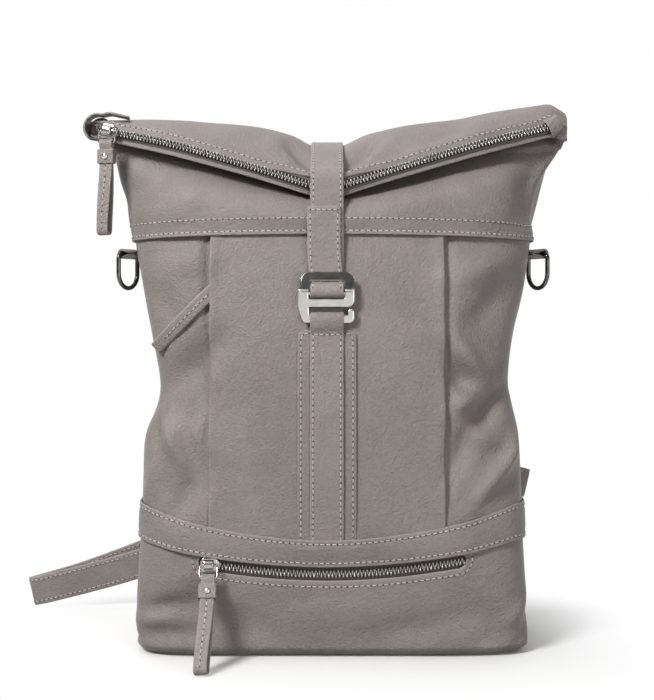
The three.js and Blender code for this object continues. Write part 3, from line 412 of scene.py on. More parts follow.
def lift(turn):
    """How far a piece that lies over the middle panel stands off the body."""
    beyond = np.abs(body(turn, WAIST)[..., 0]) - PANEL_HALF
    over = GAP + (PANEL + GAP) * (1 - smoothstep(*PANEL_EASE, beyond))
    return np.where(np.sin(turn) > 0, GAP, over)


def slot_top(x):
    return BAND.bottom + BAND.bottom_rise * rising_at(x) - SLOT.under


def slot_middle(x):
    return slot_top(x) - SLOT.height / 2


# Columns round the body: even along its waist, with extra ones at the round ends of the zip slot

FINE_TURNS = np.linspace(math.pi, 3 * math.pi, 7201)
AROUND = lengths_along(body(FINE_TURNS, WAIST))
MIDDLE_AROUND = np.interp(1.5 * math.pi, FINE_TURNS, AROUND)
COLUMN_STEP = 2.6
COLUMN_CLEAR = 0.004


def turn_at_x(x, z):
    front = FINE_TURNS[FINE_TURNS <= 2 * math.pi]
    return np.interp(x, body(front, z)[:, 0], front)


def slot_columns():
    inside = SLOT.round * (1 - np.cos(np.radians(np.arange(0, 91, 18))))
    return np.concatenate([SLOT.left + inside, SLOT.right - inside])


def body_turns():
    count = int(AROUND[-1] / COLUMN_STEP)
    even = np.interp(np.linspace(0, AROUND[-1], count + 1)[:-1], AROUND, FINE_TURNS)
    extra = turn_at_x(slot_columns(), SLOT_SIDES)
    clear = np.min(np.abs(even[:, None] - extra[None, :]), axis=1) > COLUMN_CLEAR
    return np.sort(np.concatenate([even[clear], extra]))


TURNS = body_turns()


def place_around(turn):
    """The way round the body's surface from the middle of the front, in millimetres, left negative."""
    place = np.interp(turn, FINE_TURNS, AROUND) - MIDDLE_AROUND
    return np.where(place > AROUND[-1] / 2, place - AROUND[-1], place)


PLEAT_GROOVE = Sizes(depth=2.6, beyond=1.8, spread=4.0, under=1.0, rise=(100.0, 130.0))


def pleat_depth(x, z):
    """The body is drawn in beside the edges of the middle panel, and pressed flat under it."""
    beyond = np.abs(x) - PANEL_HALF
    groove = np.exp(-((beyond - PLEAT_GROOVE.beyond) / PLEAT_GROOVE.spread) ** 2)
    groove = PLEAT_GROOVE.depth * groove * smoothstep(*PLEAT_GROOVE.rise, z)
    return np.where(beyond > 0, groove, np.maximum(groove, PLEAT_GROOVE.under))


def grid_normals(grid, ring):
    if ring:
        across = np.roll(grid, -1, axis=1) - np.roll(grid, 1, axis=1)
    else:
        across = np.gradient(grid, axis=1)
    up = np.gradient(grid, axis=0)
    return unit(np.cross(across, up))


def body_grid(heights, out=0.0, pleats=False):
    """A ring of the body's surface at rows of heights, with its fine dents pressed in."""
    grid = body(TURNS[None, :], heights, out)
    depth = folds_at(FINE_FOLDS, place_around(TURNS)[None, :], heights)
    if pleats:
        front = np.sin(TURNS)[None, :] < 0
        depth = depth + np.where(front, pleat_depth(grid[..., 0], heights), 0)
    return grid - grid_normals(grid, True) * depth[..., None]


# Meshes from grids


def grid_faces(rows, columns, ring=False, start=0):
    index = start + np.arange(rows * columns).reshape(rows, columns)
    right = np.roll(index, -1, axis=1)
    if not ring:
        index = index[:, :-1]
        right = right[:, :-1]
    faces = np.stack([index[:-1], right[:-1], right[1:], index[1:]], -1)
    return faces.reshape(-1, 4)


def vertex_normals(points, faces):
    normals = np.zeros_like(points)
    corners = points[faces]
    flat = np.cross(corners[:, 2] - corners[:, 0], corners[:, 3] - corners[:, 1])
    for k in range(4):
        np.add.at(normals, faces[:, k], flat)
    return unit(normals)


EDGE_ANGLES = np.radians((55, 20, -20, -55))
# The rims of the sheets take a paler tone, part wear of the cut edge and part a painted highlight on it
RIM_WEAR_AND_HIGHLIGHT = 0.6


def rounded_sheet(points, faces, thickness):
    """A sheet with its outer face on the given one, closed by an inner face and half-round edges."""
    normals = vertex_normals(points, faces)
    edges = np.concatenate([faces[:, [k, (k + 1) % 4]] for k in range(4)])
    keys = np.sort(edges, axis=1)
    _, where, counts = np.unique(keys, axis=0, return_inverse=True, return_counts=True)
    rim = edges[counts[where.ravel()] == 1]
    rim_points = np.unique(rim)
    local = np.full(len(points), -1)
    local[rim_points] = np.arange(len(rim_points))
    outward = np.zeros((len(rim_points), 3))
    direction = unit(points[rim[:, 1]] - points[rim[:, 0]])
    for end in range(2):
        np.add.at(outward, local[rim[:, end]], np.cross(direction, normals[rim[:, end]]))
    outward = unit(outward)
    half = thickness / 2
    rim_normals = normals[rim_points]
    middle = points[rim_points] - rim_normals * half
    layers = [middle + outward * half * math.cos(a) + rim_normals * half * math.sin(a) for a in EDGE_ANGLES]
    count = len(points)
    every = np.concatenate([points, points - normals * thickness] + layers)
    rings = [rim_points] + [2 * count + k * len(rim_points) + np.arange(len(rim_points))
                            for k in range(len(layers))] + [rim_points + count]
    strips = []
    a = local[rim[:, 0]]
    b = local[rim[:, 1]]
    for upper, lower in zip(rings[:-1], rings[1:]):
        strips.append(np.stack([upper[b], upper[a], lower[a], lower[b]], -1))
    # The rims are marked for the paler tone: part wear, part painted highlight
    worn = np.concatenate([np.zeros(2 * count), np.ones(len(layers) * len(rim_points))])
    worn[rim_points] = RIM_WEAR_AND_HIGHLIGHT
    return every, np.concatenate([faces, faces[:, ::-1] + count] + strips), worn


def add_mesh(name, points, faces, material, body_name="bag", replaces=(), slot="leather", worn=None):
    mesh = bpy.data.meshes.new(name)
    faces = faces.tolist() if isinstance(faces, np.ndarray) else faces
    mesh.from_pydata((np.asarray(points) * MM).tolist(), [], faces)
    mesh.shade_smooth()
    if worn is not None:
        layer = mesh.attributes.new("worn", "FLOAT", "POINT")
        layer.data.foreach_set("value", np.asarray(worn, np.float32))
    mesh.materials.append(material)
    item = bpy.data.objects.new(name, mesh)
    bpy.context.scene.collection.objects.link(item)
    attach(item, body_name)
    if replaces:
        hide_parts(*replaces)
    return item


def add_sheet(name, grid, thickness, material, ring=False, **options):
    faces = grid_faces(grid.shape[0], grid.shape[1], ring)
    points, faces, worn = rounded_sheet(grid.reshape(-1, 3), faces, thickness)
    return add_mesh(name, points, faces, material, worn=worn, **options)


def joined(*parts):
    """Several lists of points and faces as one."""
    points = []
    faces = []
    start = 0
    for some_points, some_faces in parts:
        points.append(np.asarray(some_points, float))
        faces += [tuple(int(i) + start for i in face) for face in some_faces]
        start += len(some_points)
    return np.concatenate(points), faces


# Straps


def strap_frame(path, across):
    """The ways across a strap and out of its face at each point of its path."""
    along = unit(np.gradient(path, axis=0))
    wide = square_to(np.broadcast_to(across, path.shape), along)
    return wide, np.cross(wide, along)


def strap_grid(path, across, width, thickness, columns=7):
    wide, facing = strap_frame(path, across)
    reach = np.linspace(-0.5, 0.5, columns) * (width - thickness)
    middle = path + facing * thickness / 2
    return middle[:, None] + wide[:, None] * reach[None, :, None]


def add_strap(node, path, across, width, thickness, slot="strap_leather", columns=7, body_name="bag"):
    """A strap of leather along a path, in place of one solid and named after it."""
    material = LEATHER if slot == "leather" else STRAP_LEATHER
    grid = strap_grid(path, across, width, thickness, columns)
    add_sheet(f"{node}_leather", grid, thickness, material, body_name=body_name, replaces=(node,), slot=slot)


def strap_line(path, across, thickness, offset, side, trim=(0.0, 0.0)):
    """A line on a strap's face, some way from its middle, with the direction that the face looks in."""
    wide, facing = strap_frame(path, across)
    line = path + wide * offset + facing * side * thickness / 2
    lengths = lengths_along(line)
    keep = (lengths >= trim[0]) & (lengths <= lengths[-1] - trim[1])
    return line[keep], facing[keep] * side


# Stitches, laid as lines over the pieces and gathered into two meshes for each body

STITCH = Sizes(pitch=4.4, length=2.9, width=0.48, height=0.36, hole=0.62, hole_height=0.2, off=0.12)
PILL_SIDES = 6
PILL_ROUND = 0.6


def pill(sides, rings):
    """A rounded grain of length 1 along X, width 1 along Y and height 1 along Z."""
    points = [(-0.5, 0, 0)]
    for r in range(1, rings):
        angle = math.pi * r / rings
        x = -0.5 * signed_power(math.cos(angle), PILL_ROUND)
        radius = math.sin(angle) ** PILL_ROUND
        for k in range(sides):
            turn = 2 * math.pi * k / sides
            points.append((x, radius * math.cos(turn), radius * math.sin(turn)))
    points.append((0.5, 0, 0))
    faces = []
    last = len(points) - 1
    for k in range(sides):
        after = (k + 1) % sides
        faces.append((0, 1 + after, 1 + k))
        for r in range(rings - 2):
            a = 1 + r * sides
            faces.append((a + k, a + after, a + sides + after, a + sides + k))
        a = 1 + (rings - 2) * sides
        faces.append((a + k, a + after, last))
    return np.array(points), faces


def scattered(template, places, frames, size):
    """Copies of a small shape at places, turned by frames of three directions."""
    shape, shape_faces = template
    points = places[:, None, :] + np.einsum("pk,nkc->npc", shape * np.asarray(size, float), frames)
    faces = []
    for start in range(0, len(places) * len(shape), len(shape)):
        faces += [tuple(start + i for i in face) for face in shape_faces]
    return points.reshape(-1, 3), faces


class Stitches:
    """Lines of stitches over the pieces of one body, with a dark mark at each stitch's ends, painted shade
    in its needle hole.
    """

    def __init__(self):
        self.threads = []
        self.holes = []

    def line(self, points, facing):
        lengths = lengths_along(points)
        count = max(1, int(round(lengths[-1] / STITCH.pitch)))
        step = lengths[-1] / count
        middles = (np.arange(count) + 0.5) * step
        ends = np.arange(count + 1) * step
        for wanted, laid in ((middles, self.threads), (ends, self.holes)):
            normal = unit(at_lengths(wanted, lengths, facing))
            before = at_lengths(np.maximum(wanted - 0.5, 0), lengths, points)
            after = at_lengths(np.minimum(wanted + 0.5, lengths[-1]), lengths, points)
            ahead = square_to(after - before, normal)
            places = at_lengths(wanted, lengths, points) + normal * STITCH.off
            laid.append((places, np.stack([ahead, np.cross(normal, ahead), normal], 1)))

    def build(self, body_name):
        thread = (STITCH.length, STITCH.width, STITCH.height)
        hole = (STITCH.hole * 2, STITCH.hole, STITCH.hole_height)
        for kind, laid, rings, size, material, slot in (
                ("thread", self.threads, 6, thread, THREAD, "strap_leather"),
                ("needle_hole_shades", self.holes, 2, hole, HOLE_SHADE, "leather")):
            places, frames = (np.concatenate(values) for values in zip(*laid))
            points, faces = scattered(pill(PILL_SIDES, rings), places, frames, size)
            add_mesh(f"{body_name}_{kind}", points, faces, material, body_name, slot=slot)


stitches = Stitches()


def grid_line(grid, normals, distance, from_end=False):
    """A line over a grid's columns, at a distance along each column from its first or last row."""
    if from_end:
        grid = grid[::-1]
        normals = normals[::-1]
    steps = np.linalg.norm(np.diff(grid, axis=0), axis=-1)
    lengths = np.concatenate([np.zeros((1, grid.shape[1])), np.cumsum(steps, axis=0)])
    columns = np.arange(grid.shape[1])
    low = np.clip((lengths <= distance).sum(axis=0) - 1, 0, grid.shape[0] - 2)
    span = np.maximum(lengths[low + 1, columns] - lengths[low, columns], 1e-6)
    t = ((distance - lengths[low, columns]) / span)[:, None]
    points = grid[low, columns] * (1 - t) + grid[low + 1, columns] * t
    facing = normals[low, columns] * (1 - t) + normals[low + 1, columns] * t
    return points, unit(facing)


def stitch_round(grid, normals, distance, from_end=False):
    """A line of stitches all the way round a ring of leather."""
    line, facing = grid_line(grid, normals, distance, from_end)
    stitches.line(np.concatenate([line, line[:1]]), np.concatenate([facing, facing[:1]]))


# Materials, all from procedural textures


def set_inputs(tree, node, inputs):
    """Sets each input of a node to a value, or joins it to another node's output."""
    for name, value in inputs.items():
        if isinstance(value, bpy.types.NodeSocket):
            tree.links.new(value, node.inputs[name])
        else:
            node.inputs[name].default_value = value


def add_node(tree, kind, inputs, **settings):
    node = tree.nodes.new(f"ShaderNode{kind}")
    for name, value in settings.items():
        setattr(node, name, value)
    set_inputs(tree, node, inputs)
    return node


def new_material(name):
    """A material with its nodes, and the place on the piece that its textures start from."""
    material = bpy.data.materials.new(name)
    material.use_nodes = True
    tree = material.node_tree
    return material, tree, add_node(tree, "TexCoord", {}).outputs["Object"]


def dressed(material, inputs):
    tree = material.node_tree
    set_inputs(tree, tree.nodes["Principled BSDF"], inputs)
    return material


def noise(tree, place, scale, detail, rough, distortion=0.0):
    inputs = {"Scale": scale, "Detail": detail, "Roughness": rough, "Distortion": distortion}
    return add_node(tree, "TexNoise", {"Vector": place, **inputs}).outputs["Fac"]


def ramp(tree, value, low, dark, high, light):
    """A colour that goes from dark to light as a value goes from low to high."""
    node = add_node(tree, "ValToRGB", {"Fac": value})
    for element, position, colour in zip(node.color_ramp.elements, (low, high), (dark, light)):
        element.position = position
        element.color = colour
    return node.outputs["Color"]


def calculate(tree, operation, first, second):
    return add_node(tree, "Math", {0: first, 1: second}, operation=operation).outputs["Value"]


def mix_colour(tree, share, first, second):
    return add_node(tree, "Mix", {0: share, 6: first, 7: second}, data_type="RGBA").outputs[2]


def bump(tree, height, strength, distance, before=None):
    inputs = {"Height": height, "Strength": strength, "Distance": distance}
    if before is not None:
        inputs["Normal"] = before
    return add_node(tree, "Bump", inputs).outputs["Normal"]


def spread(tree, value, low, high):
    return add_node(tree, "MapRange", {"Value": value, "To Min": low, "To Max": high}).outputs["Result"]


def eased(tree, value, low, high, start=0.0, end=1.0):
    """A value eased from start to end as it goes from low to high."""
    inputs = {"Value": value, "From Min": low, "From Max": high, "To Min": start, "To Max": end}
    return add_node(tree, "MapRange", inputs, interpolation_type="SMOOTHSTEP").outputs["Result"]


def srgb(red, green, blue):
    """A colour as the shader wants it, from the 0 to 255 values of a screen."""
    shares = [value / 255 for value in (red, green, blue)]
    return (*(s / 12.92 if s <= 0.04045 else ((s + 0.055) / 1.055) ** 2.4 for s in shares), 1.0)


def leather_material(name, dark, light, edge, gloss):
    """Leather with soft clouds of tone, a fine grain, shallow creases and paler edges, part wear and part
    painted highlight.
    """
    material, tree, place = new_material(name)
    clouds = noise(tree, place, 22.0, 4.0, 0.6)
    specks = noise(tree, place, 420.0, 2.0, 0.6)
    cloud_tone = ramp(tree, clouds, 0.32, dark, 0.68, light)
    tone = mix_colour(tree, 0.4, cloud_tone, ramp(tree, specks, 0.35, dark, 0.65, light))
    # The paler edge colour goes on the marked rims: part wear, part a painted highlight on the rounded edges
    worn = add_node(tree, "Attribute", {}, attribute_name="worn").outputs["Fac"]
    tone = mix_colour(tree, calculate(tree, "MULTIPLY", worn, 0.55), tone, edge)
    cells = add_node(tree, "TexVoronoi", {"Vector": place, "Scale": 900.0}, feature="SMOOTH_F1")
    grain = bump(tree, cells.outputs["Distance"], 0.75, 0.0006)
    grain = bump(tree, noise(tree, place, 480.0, 3.0, 0.6), 0.75, 0.0009, grain)
    grain = bump(tree, noise(tree, place, 75.0, 3.0, 0.55, 0.6), 0.24, 0.004, grain)
    return dressed(material, {
        "Base Color": tone,
        "Normal": grain,
        "Roughness": spread(tree, specks, gloss - 0.05, gloss + 0.08),
        "Specular IOR Level": 0.3,
    })


def metal_material(name, dark, light, rough, scratch):
    """Metal with faint stains and fine lines of polish."""
    material, tree, place = new_material(name)
    stain = noise(tree, place, 160.0, 3.0, 0.6)
    drawn_out = add_node(tree, "Mapping", {"Vector": place, "Scale": (1.0, 1.0, 14.0)}).outputs["Vector"]
    return dressed(material, {
        "Base Color": ramp(tree, stain, 0.3, dark, 0.7, light),
        "Normal": bump(tree, noise(tree, drawn_out, 260.0, 3.0, 0.6), scratch, 0.0002),
        "Roughness": spread(tree, stain, rough, rough + 0.1),
        "Metallic": 1.0,
    })


def cloth_material(name, dark, light, scale):
    """A woven cloth, for the zip tapes and the sewing thread."""
    material, tree, place = new_material(name)
    weave = add_node(tree, "TexWave", {"Vector": place, "Scale": scale, "Distortion": 2.0},
                     bands_direction="DIAGONAL").outputs["Fac"]
    patches = noise(tree, place, 90.0, 3.0, 0.6)
    threads = calculate(tree, "MULTIPLY", weave, 0.4)
    both = calculate(tree, "ADD", threads, calculate(tree, "MULTIPLY", patches, 0.6))
    return dressed(material, {
        "Base Color": ramp(tree, both, 0.25, dark, 0.75, light),
        "Normal": bump(tree, weave, 0.4, 0.0003),
        "Roughness": spread(tree, patches, 0.7, 0.9),
    })


LEATHER = leather_material("taupe_leather", srgb(127, 119, 115), srgb(145, 137, 133),
                           srgb(160, 152, 147), 0.43)
STRAP_LEATHER = leather_material("strap_leather", srgb(134, 126, 122), srgb(149, 141, 137),
                                 srgb(160, 152, 146), 0.42)
TAPE = cloth_material("zip_tape_cloth", srgb(98, 90, 85), srgb(120, 112, 106), 700.0)
DARK_TAPE = cloth_material("dark_tape_cloth", srgb(78, 70, 66), srgb(98, 90, 85), 700.0)
# Near black: painted shade, for the sheet under the top zip's teeth
TEETH_SHADE_TAPE = cloth_material("zip_teeth_shade_cloth", srgb(24, 21, 20), srgb(38, 34, 32), 700.0)
THREAD = cloth_material("cream_thread", srgb(188, 180, 171), srgb(212, 204, 195), 1400.0)
# The needle holes are dark discs on the surface: painted shade in each hole
HOLE_SHADE = cloth_material("needle_hole_shade", srgb(44, 37, 35), srgb(60, 52, 49), 900.0)
TEETH = metal_material("zip_teeth_metal", srgb(184, 180, 174), srgb(208, 205, 200), 0.34, 0.1)
GUNMETAL = metal_material("dark_polished_metal", srgb(88, 86, 85), srgb(112, 110, 108), 0.16, 0.05)
NICKEL = metal_material("satin_nickel", srgb(208, 206, 203), srgb(224, 222, 219), 0.24, 0.1)
# A darker copy of the satin nickel: painted shade, the dark reflection on the buckle's frame
SHADED_NICKEL = metal_material("shaded_nickel", srgb(112, 111, 110), srgb(136, 135, 133), 0.2, 0.1)
BRIGHT = metal_material("polished_nickel", srgb(178, 175, 172), srgb(196, 193, 190), 0.16, 0.05)

# Lower body, with the slot of the bottom zip left open in its front and its foot curved in under it

FOOT = Sizes(inset=3.4, top=6.5, bottom=1.0, worn=0.3, worn_below=3.0)
FOOT_ROWS = np.array((1.0, 1.8, 2.8, 4.2, 6, 8, 11))
SLOT_SHUT = 0.05
UNDER_BAND = 1.5


def slot_half(x):
    """Half the height of the zip slot at a place across, nothing beyond its round ends."""
    inside = np.minimum(np.minimum(x - SLOT.left, SLOT.right - x), SLOT.round)
    inside = np.maximum(inside, 0)
    return SLOT.height / 2 * np.sqrt(np.maximum(0, 1 - (1 - inside / SLOT.round) ** 2))


def lower_body():
    xs = body(TURNS, SLOT_SIDES)[:, 0]
    front = np.sin(TURNS) < 0
    half = np.where(front, slot_half(xs), 0)
    half[half < SLOT_SHUT] = 0
    middle = np.where(front, slot_middle(xs), band_bottom(TURNS) - SLOT.under - SLOT.height / 2)
    under = np.concatenate([
        np.repeat(FOOT_ROWS[:, None], len(TURNS), axis=1),
        rows_between(FOOT_ROWS[-1], middle - half, 18)[1:],
    ])
    above = rows_between(middle + half, band_middle(TURNS) - UNDER_BAND, 6)
    heights = np.concatenate([under, above])
    grid = body_grid(heights, -FOOT.inset * smoothstep(FOOT.top, FOOT.bottom, heights))
    points = grid.reshape(-1, 3)
    columns = len(TURNS)
    faces = np.concatenate([
        grid_faces(len(under), columns, True),
        grid_faces(len(above), columns, True, len(under) * columns),
    ])
    shut = np.flatnonzero(half == 0)
    same = np.arange(len(points))
    same[len(under) * columns + shut] = (len(under) - 1) * columns + shut
    faces = same[faces]
    used = np.unique(faces)
    renumber = np.zeros(len(points), int)
    renumber[used] = np.arange(len(used))
    points, faces, worn = rounded_sheet(points[used], renumber[faces], WALL)
    # The paler rim is dimmed along the foot: painted shade where the bag meets the floor
    worn[points[:, 2] < FOOT.worn_below] *= FOOT.worn
    add_mesh("lower_body_leather", points, faces, LEATHER, replaces=("lower_front", "lower_back"), worn=worn)


lower_body()


def plate(loops):
    """A closed solid from loops of the same number of points, capped at both ends."""
    count = len(loops[0])
    faces = [tuple(face) for face in grid_faces(len(loops), count, True)]
    faces.append(tuple(range(count))[::-1])
    faces.append(tuple((len(loops) - 1) * count + k for k in range(count)))
    return np.concatenate(loops), faces


def base_loop(inset, z):
    loop = body(TURNS[::2], 0.0, -WALL - GAP - FOOT.inset - inset)
    loop[:, 2] = z
    return loop


BASE_ROWS = ((1.2, 0.1), (0.4, 0.4), (0.0, 1.1), (0.0, 2.4))
points, faces = plate([base_loop(inset, z) for inset, z in BASE_ROWS])
add_mesh("base_leather", points, faces, LEATHER, replaces=("base_panel",))

# Upper body, drawn in beside the middle panel

upper_heights = rows_between(band_middle(TURNS), BODY_TOP, 66)
add_sheet("upper_body_leather", body_grid(upper_heights, pleats=True), WALL, LEATHER, ring=True,
          replaces=("upper_front", "upper_back"))

# Middle panel: a pleat stands proud along each of its sides

PLEAT = Sizes(fold=3.0, lift=1.3, spread=6.0, rise=(92.0, 125.0))


def on_front(xs, z, off):
    """Points that stand some millimetres off the front of the body, at places across and heights."""
    x = np.broadcast_to(xs, z.shape)
    return np.stack([x, front_y(x, z) - off, z], -1)


panel_half = PANEL_HALF - PLEAT.fold / 2
panel_xs = panel_half * np.sin(np.linspace(-math.pi / 2, math.pi / 2, 75))
panel_rise = (BAND.top_rise + BAND.bottom_rise) / 2 * rising_at(panel_xs)
panel_z = rows_between((BAND.top + BAND.bottom) / 2 + PANEL_TUCK + panel_rise, PANEL_TOP, 80)
edge_lift = PLEAT.lift * np.exp(-((panel_half - np.abs(panel_xs)) / PLEAT.spread) ** 2)
panel_off = GAP + PANEL + edge_lift * smoothstep(*PLEAT.rise, panel_z)
add_sheet("middle_panel_leather", on_front(panel_xs, panel_z, panel_off), PLEAT.fold, LEATHER,
          replaces=("front_panel",))

# Seam band: its upper edge covers the ends of the strip and the patch

STRIP_UNDER = 2.6
STRIP_COVER = 2.0
STRIP_RISE = (14.0, 60.0)
STRIP_EDGE = (0.1, 0.8)
STRIP_PRESSED = Sizes(patch=1.2, strip=2.1, height=30.0)
SEAM = Sizes(depth=0.35, at=0.13, spread=0.07, belly=0.3, stitch=2.2)
band_shares = np.linspace(0, 1, 13)[:, None]
pressed = SEAM.depth * (np.exp(-((band_shares - SEAM.at) / SEAM.spread) ** 2)
                           + np.exp(-((band_shares - 1 + SEAM.at) / SEAM.spread) ** 2))
band_x = np.where(np.sin(TURNS) > 0, STRIP_RISE[1], np.abs(body(TURNS, BAND.top)[..., 0]))
over_strip = STRIP_COVER * smoothstep(*STRIP_EDGE, band_shares) * (1 - smoothstep(*STRIP_RISE, band_x))
band_out = lift(TURNS) + TRIM + SEAM.belly * np.sin(math.pi * band_shares) - pressed + over_strip
band_grid = body_grid(rows_between(band_bottom(TURNS), band_top(TURNS), 13), band_out)
add_sheet("seam_band_leather", band_grid, TRIM, LEATHER, ring=True, replaces=("seam_band",))
for from_end in (False, True):
    stitch_round(band_grid, grid_normals(band_grid, True), SEAM.stitch, from_end)

# Roll-top, one tube of leather from the hem to the lips of the zip


def across_collar(columns, row, axis, reach):
    centre, middle, outer = (columns[f"{part}_{axis}"][row] for part in ("centre", "middle", "outer"))
    share = np.maximum(0, np.abs(reach) - COLLAR_FLAT)
    span = COLLAR_OUTER - COLLAR_MIDDLE
    slope = (outer - centre) / COLLAR_OUTER
    end_slope = (outer - middle) / span
    start_slope = columns["pinch"][row] * (middle - centre)
    inner = hermite(centre, middle, start_slope, slope * COLLAR_MIDDLE, share / COLLAR_MIDDLE)
    beyond = hermite(middle, outer, slope * span, end_slope * span, (share - COLLAR_MIDDLE) / span)
    last = outer + end_slope * (share - COLLAR_OUTER) * 0.5
    return np.where(share < COLLAR_MIDDLE, inner, np.where(share < COLLAR_OUTER, beyond, last))


def collar_rows(reach, half):
    """The rows of the roll-top's front or back half at shares of its half width."""
    columns = COLLAR_FRONT if half == "front" else COLLAR_BACK
    rows = []
    for i, (left, right, seam_y, seam_z, square) in enumerate(zip(*COLLAR_SEAM.values())):
        if i == 0:
            bend = np.arccos(np.clip(signed_power(reach, square / 2), -1, 1))
            turn = 2 * math.pi - bend if half == "front" else bend
            rows.append(body(turn, hem_height(turn), lift(turn) + WALL))
            continue
        rise = columns["rise"][i] * np.maximum(0, reach) ** 3
        y = across_collar(columns, i, "y", reach)
        z = across_collar(columns, i, "z", reach) + rise
        opened = (1 - np.minimum(1, np.abs(reach)) ** square) ** (1 / square)
        x = reach * np.where(reach < 0, left, right)
        rows.append(np.stack([x, seam_y + (y - seam_y) * opened,
                              seam_z + rise + (z - seam_z - rise) * opened], -1))
    return np.stack(rows)


LAST_ROW = 6.0
half_reaches = np.concatenate([np.linspace(0, 0.9, 40), 1 - np.geomspace(0.084, 0.0016, 15), [1.0]])
REACHES = np.concatenate([-half_reaches[:0:-1], half_reaches])
AROUND_COLLAR = np.concatenate([REACHES, REACHES[::-1][1:-1]])
FRONT_COLUMNS = np.arange(len(AROUND_COLLAR)) < len(REACHES)
COLLAR_ROWS = np.linspace(0, LAST_ROW, 85)
# The rows that the dents of the front end at and those of the flap start from, and how they fade at the ends
FRONT_FOLDS_TO = 3.4
FLAP_FOLDS_FROM = 3.6
FOLD_EASE = (0.8, 0.35)
# The hem is turned in: a thick edge with a pressed line over it
HEM = Sizes(swell=0.8, spread=0.14, press=0.35, line=0.13, line_spread=0.05)
# Rows added past the lips: the flap's way down over the zip and out, the lower lip's way up and in
FLAP_EDGE = ((1.5, 0.5), (3.0, 1.0), (4.5, 1.4), (5.8, 1.6))
LIP_EDGE = ((0.5, -0.4), (1.5, -0.5), (2.6, 0.1), (3.6, 1.2))
# The lips are pressed together under the strap and run out at the mouth's ends
LIPS = Sizes(least=0.25, strap=(0.06, 0.3), ends=(0.84, 0.98), lost=0.98)
MOUTH_END = 0.985
# At its right end the mouth is sewn shut, and the corner over it is rounded off
MOUTH_SEWN = (0.955, 0.972)
MOUTH_BULGE = 1.2
CORNER = Sizes(start=0.92, drop=7.0, rows=(2.5, 4.5))
# The roll-top's sides are drawn in where a ring that is turned up comes to rest
RING_CLEAR = Sizes(depth=0.9, start=0.86, full=0.97, row=0.6, spread=0.7)
HEM_STITCHES = (1.9, 11.2)
FLAP_STITCH = Sizes(distance=4.0, columns=12)


def mouth(reach):
    """The mouth of the roll-top at shares of its half width: middle, and ways along, up and out."""
    reach = np.atleast_1d(np.asarray(reach, float))

    def lips(share):
        upper = collar_rows(share, "back")[-1]
        lower = collar_rows(share, "front")[-1]
        return (upper + lower) / 2, upper - lower

    middle, up = lips(reach)
    along = unit(lips(reach + 0.005)[0] - lips(reach - 0.005)[0])
    up = square_to(up, along)
    return middle, along, up, np.cross(along, up)


def with_lips(grid):
    """The roll-top with its flap drawn down over the zip and its lower lip rolled in under it."""
    middle, _, up, out = mouth(np.clip(AROUND_COLLAR, -MOUTH_END, MOUTH_END))
    aside = np.abs(AROUND_COLLAR)
    share = LIPS.least + (1 - LIPS.least) * smoothstep(*LIPS.strap, aside)
    share = share * (1 - LIPS.lost * smoothstep(*LIPS.ends, aside))
    closed = smoothstep(*MOUTH_SEWN, AROUND_COLLAR)[:, None]
    rows = []
    for k, ((down, forward), (rise, inward)) in enumerate(zip(FLAP_EDGE, LIP_EDGE)):
        upward = np.where(FRONT_COLUMNS, rise, -down) * share
        outward = np.where(FRONT_COLUMNS, -inward, forward) * share
        opened = grid[-1] + up * upward[:, None] + out * outward[:, None]
        sewn = grid[-1] + (middle + out * MOUTH_BULGE - grid[-1]) * (k + 1) / len(FLAP_EDGE)
        rows.append(opened * (1 - closed) + sewn * closed)
    return np.concatenate([grid, np.stack(rows)])


def roll_top_grid():
    front = through(collar_rows(REACHES, "front"), COLLAR_ROWS)
    back = through(collar_rows(REACHES[::-1], "back"), COLLAR_ROWS)[:, 1:-1]
    grid = np.concatenate([front, back], axis=1)
    x = grid[..., 0]
    z = grid[..., 2]
    rows = COLLAR_ROWS[:, None]
    depth = np.where(FRONT_COLUMNS, folds_at(COLLAR_FOLDS, x, z) * (rows < FRONT_FOLDS_TO),
                     folds_at(FLAP_FOLDS, x, z) * (rows > FLAP_FOLDS_FROM))
    depth = depth * smoothstep(0, FOLD_EASE[0], rows) * smoothstep(0, FOLD_EASE[1], LAST_ROW - rows)
    depth = depth - HEM.swell * np.exp(-(rows / HEM.spread) ** 2)
    depth = depth + HEM.press * np.exp(-((rows - HEM.line) / HEM.line_spread) ** 2)
    clear = RING_CLEAR.depth * smoothstep(RING_CLEAR.start, RING_CLEAR.full, np.abs(AROUND_COLLAR))
    depth = depth + clear * np.exp(-((rows - RING_CLEAR.row) / RING_CLEAR.spread) ** 2)
    grid = grid - grid_normals(grid, True) * depth[..., None]
    corner = smoothstep(CORNER.start, 1.0, AROUND_COLLAR) * smoothstep(*CORNER.rows, rows)
    grid[..., 2] -= CORNER.drop * corner
    return with_lips(grid)


roll_top = roll_top_grid()
add_sheet("roll_top_leather", roll_top, WALL, LEATHER, ring=True, replaces=("collar_front", "collar_back"))
roll_normals = grid_normals(roll_top, True)
for distance in HEM_STITCHES:
    stitch_round(roll_top, roll_normals, distance)
flap = slice(len(REACHES) + FLAP_STITCH.columns, roll_top.shape[1] - FLAP_STITCH.columns)
stitches.line(*grid_line(roll_top[:, flap], roll_normals[:, flap], FLAP_STITCH.distance, True))

# Zip tapes and teeth

# One tooth from its head to its tip: the way up from the zip's middle, half the width and half the height
TOOTH = ((2.7, 0.25, 0.35), (2.45, 0.48, 0.7), (1.8, 0.58, 0.85), (1.1, 0.52, 0.75), (0.75, 0.34, 0.3),
         (-0.5, 0.3, 0.2), (-0.8, 0.2, 0.1))
TEETH_FROM = -0.962
CHAIN_MIDDLE = 1.2
TAPE_REACH = 6.4
TAPE_SINK = 2.6
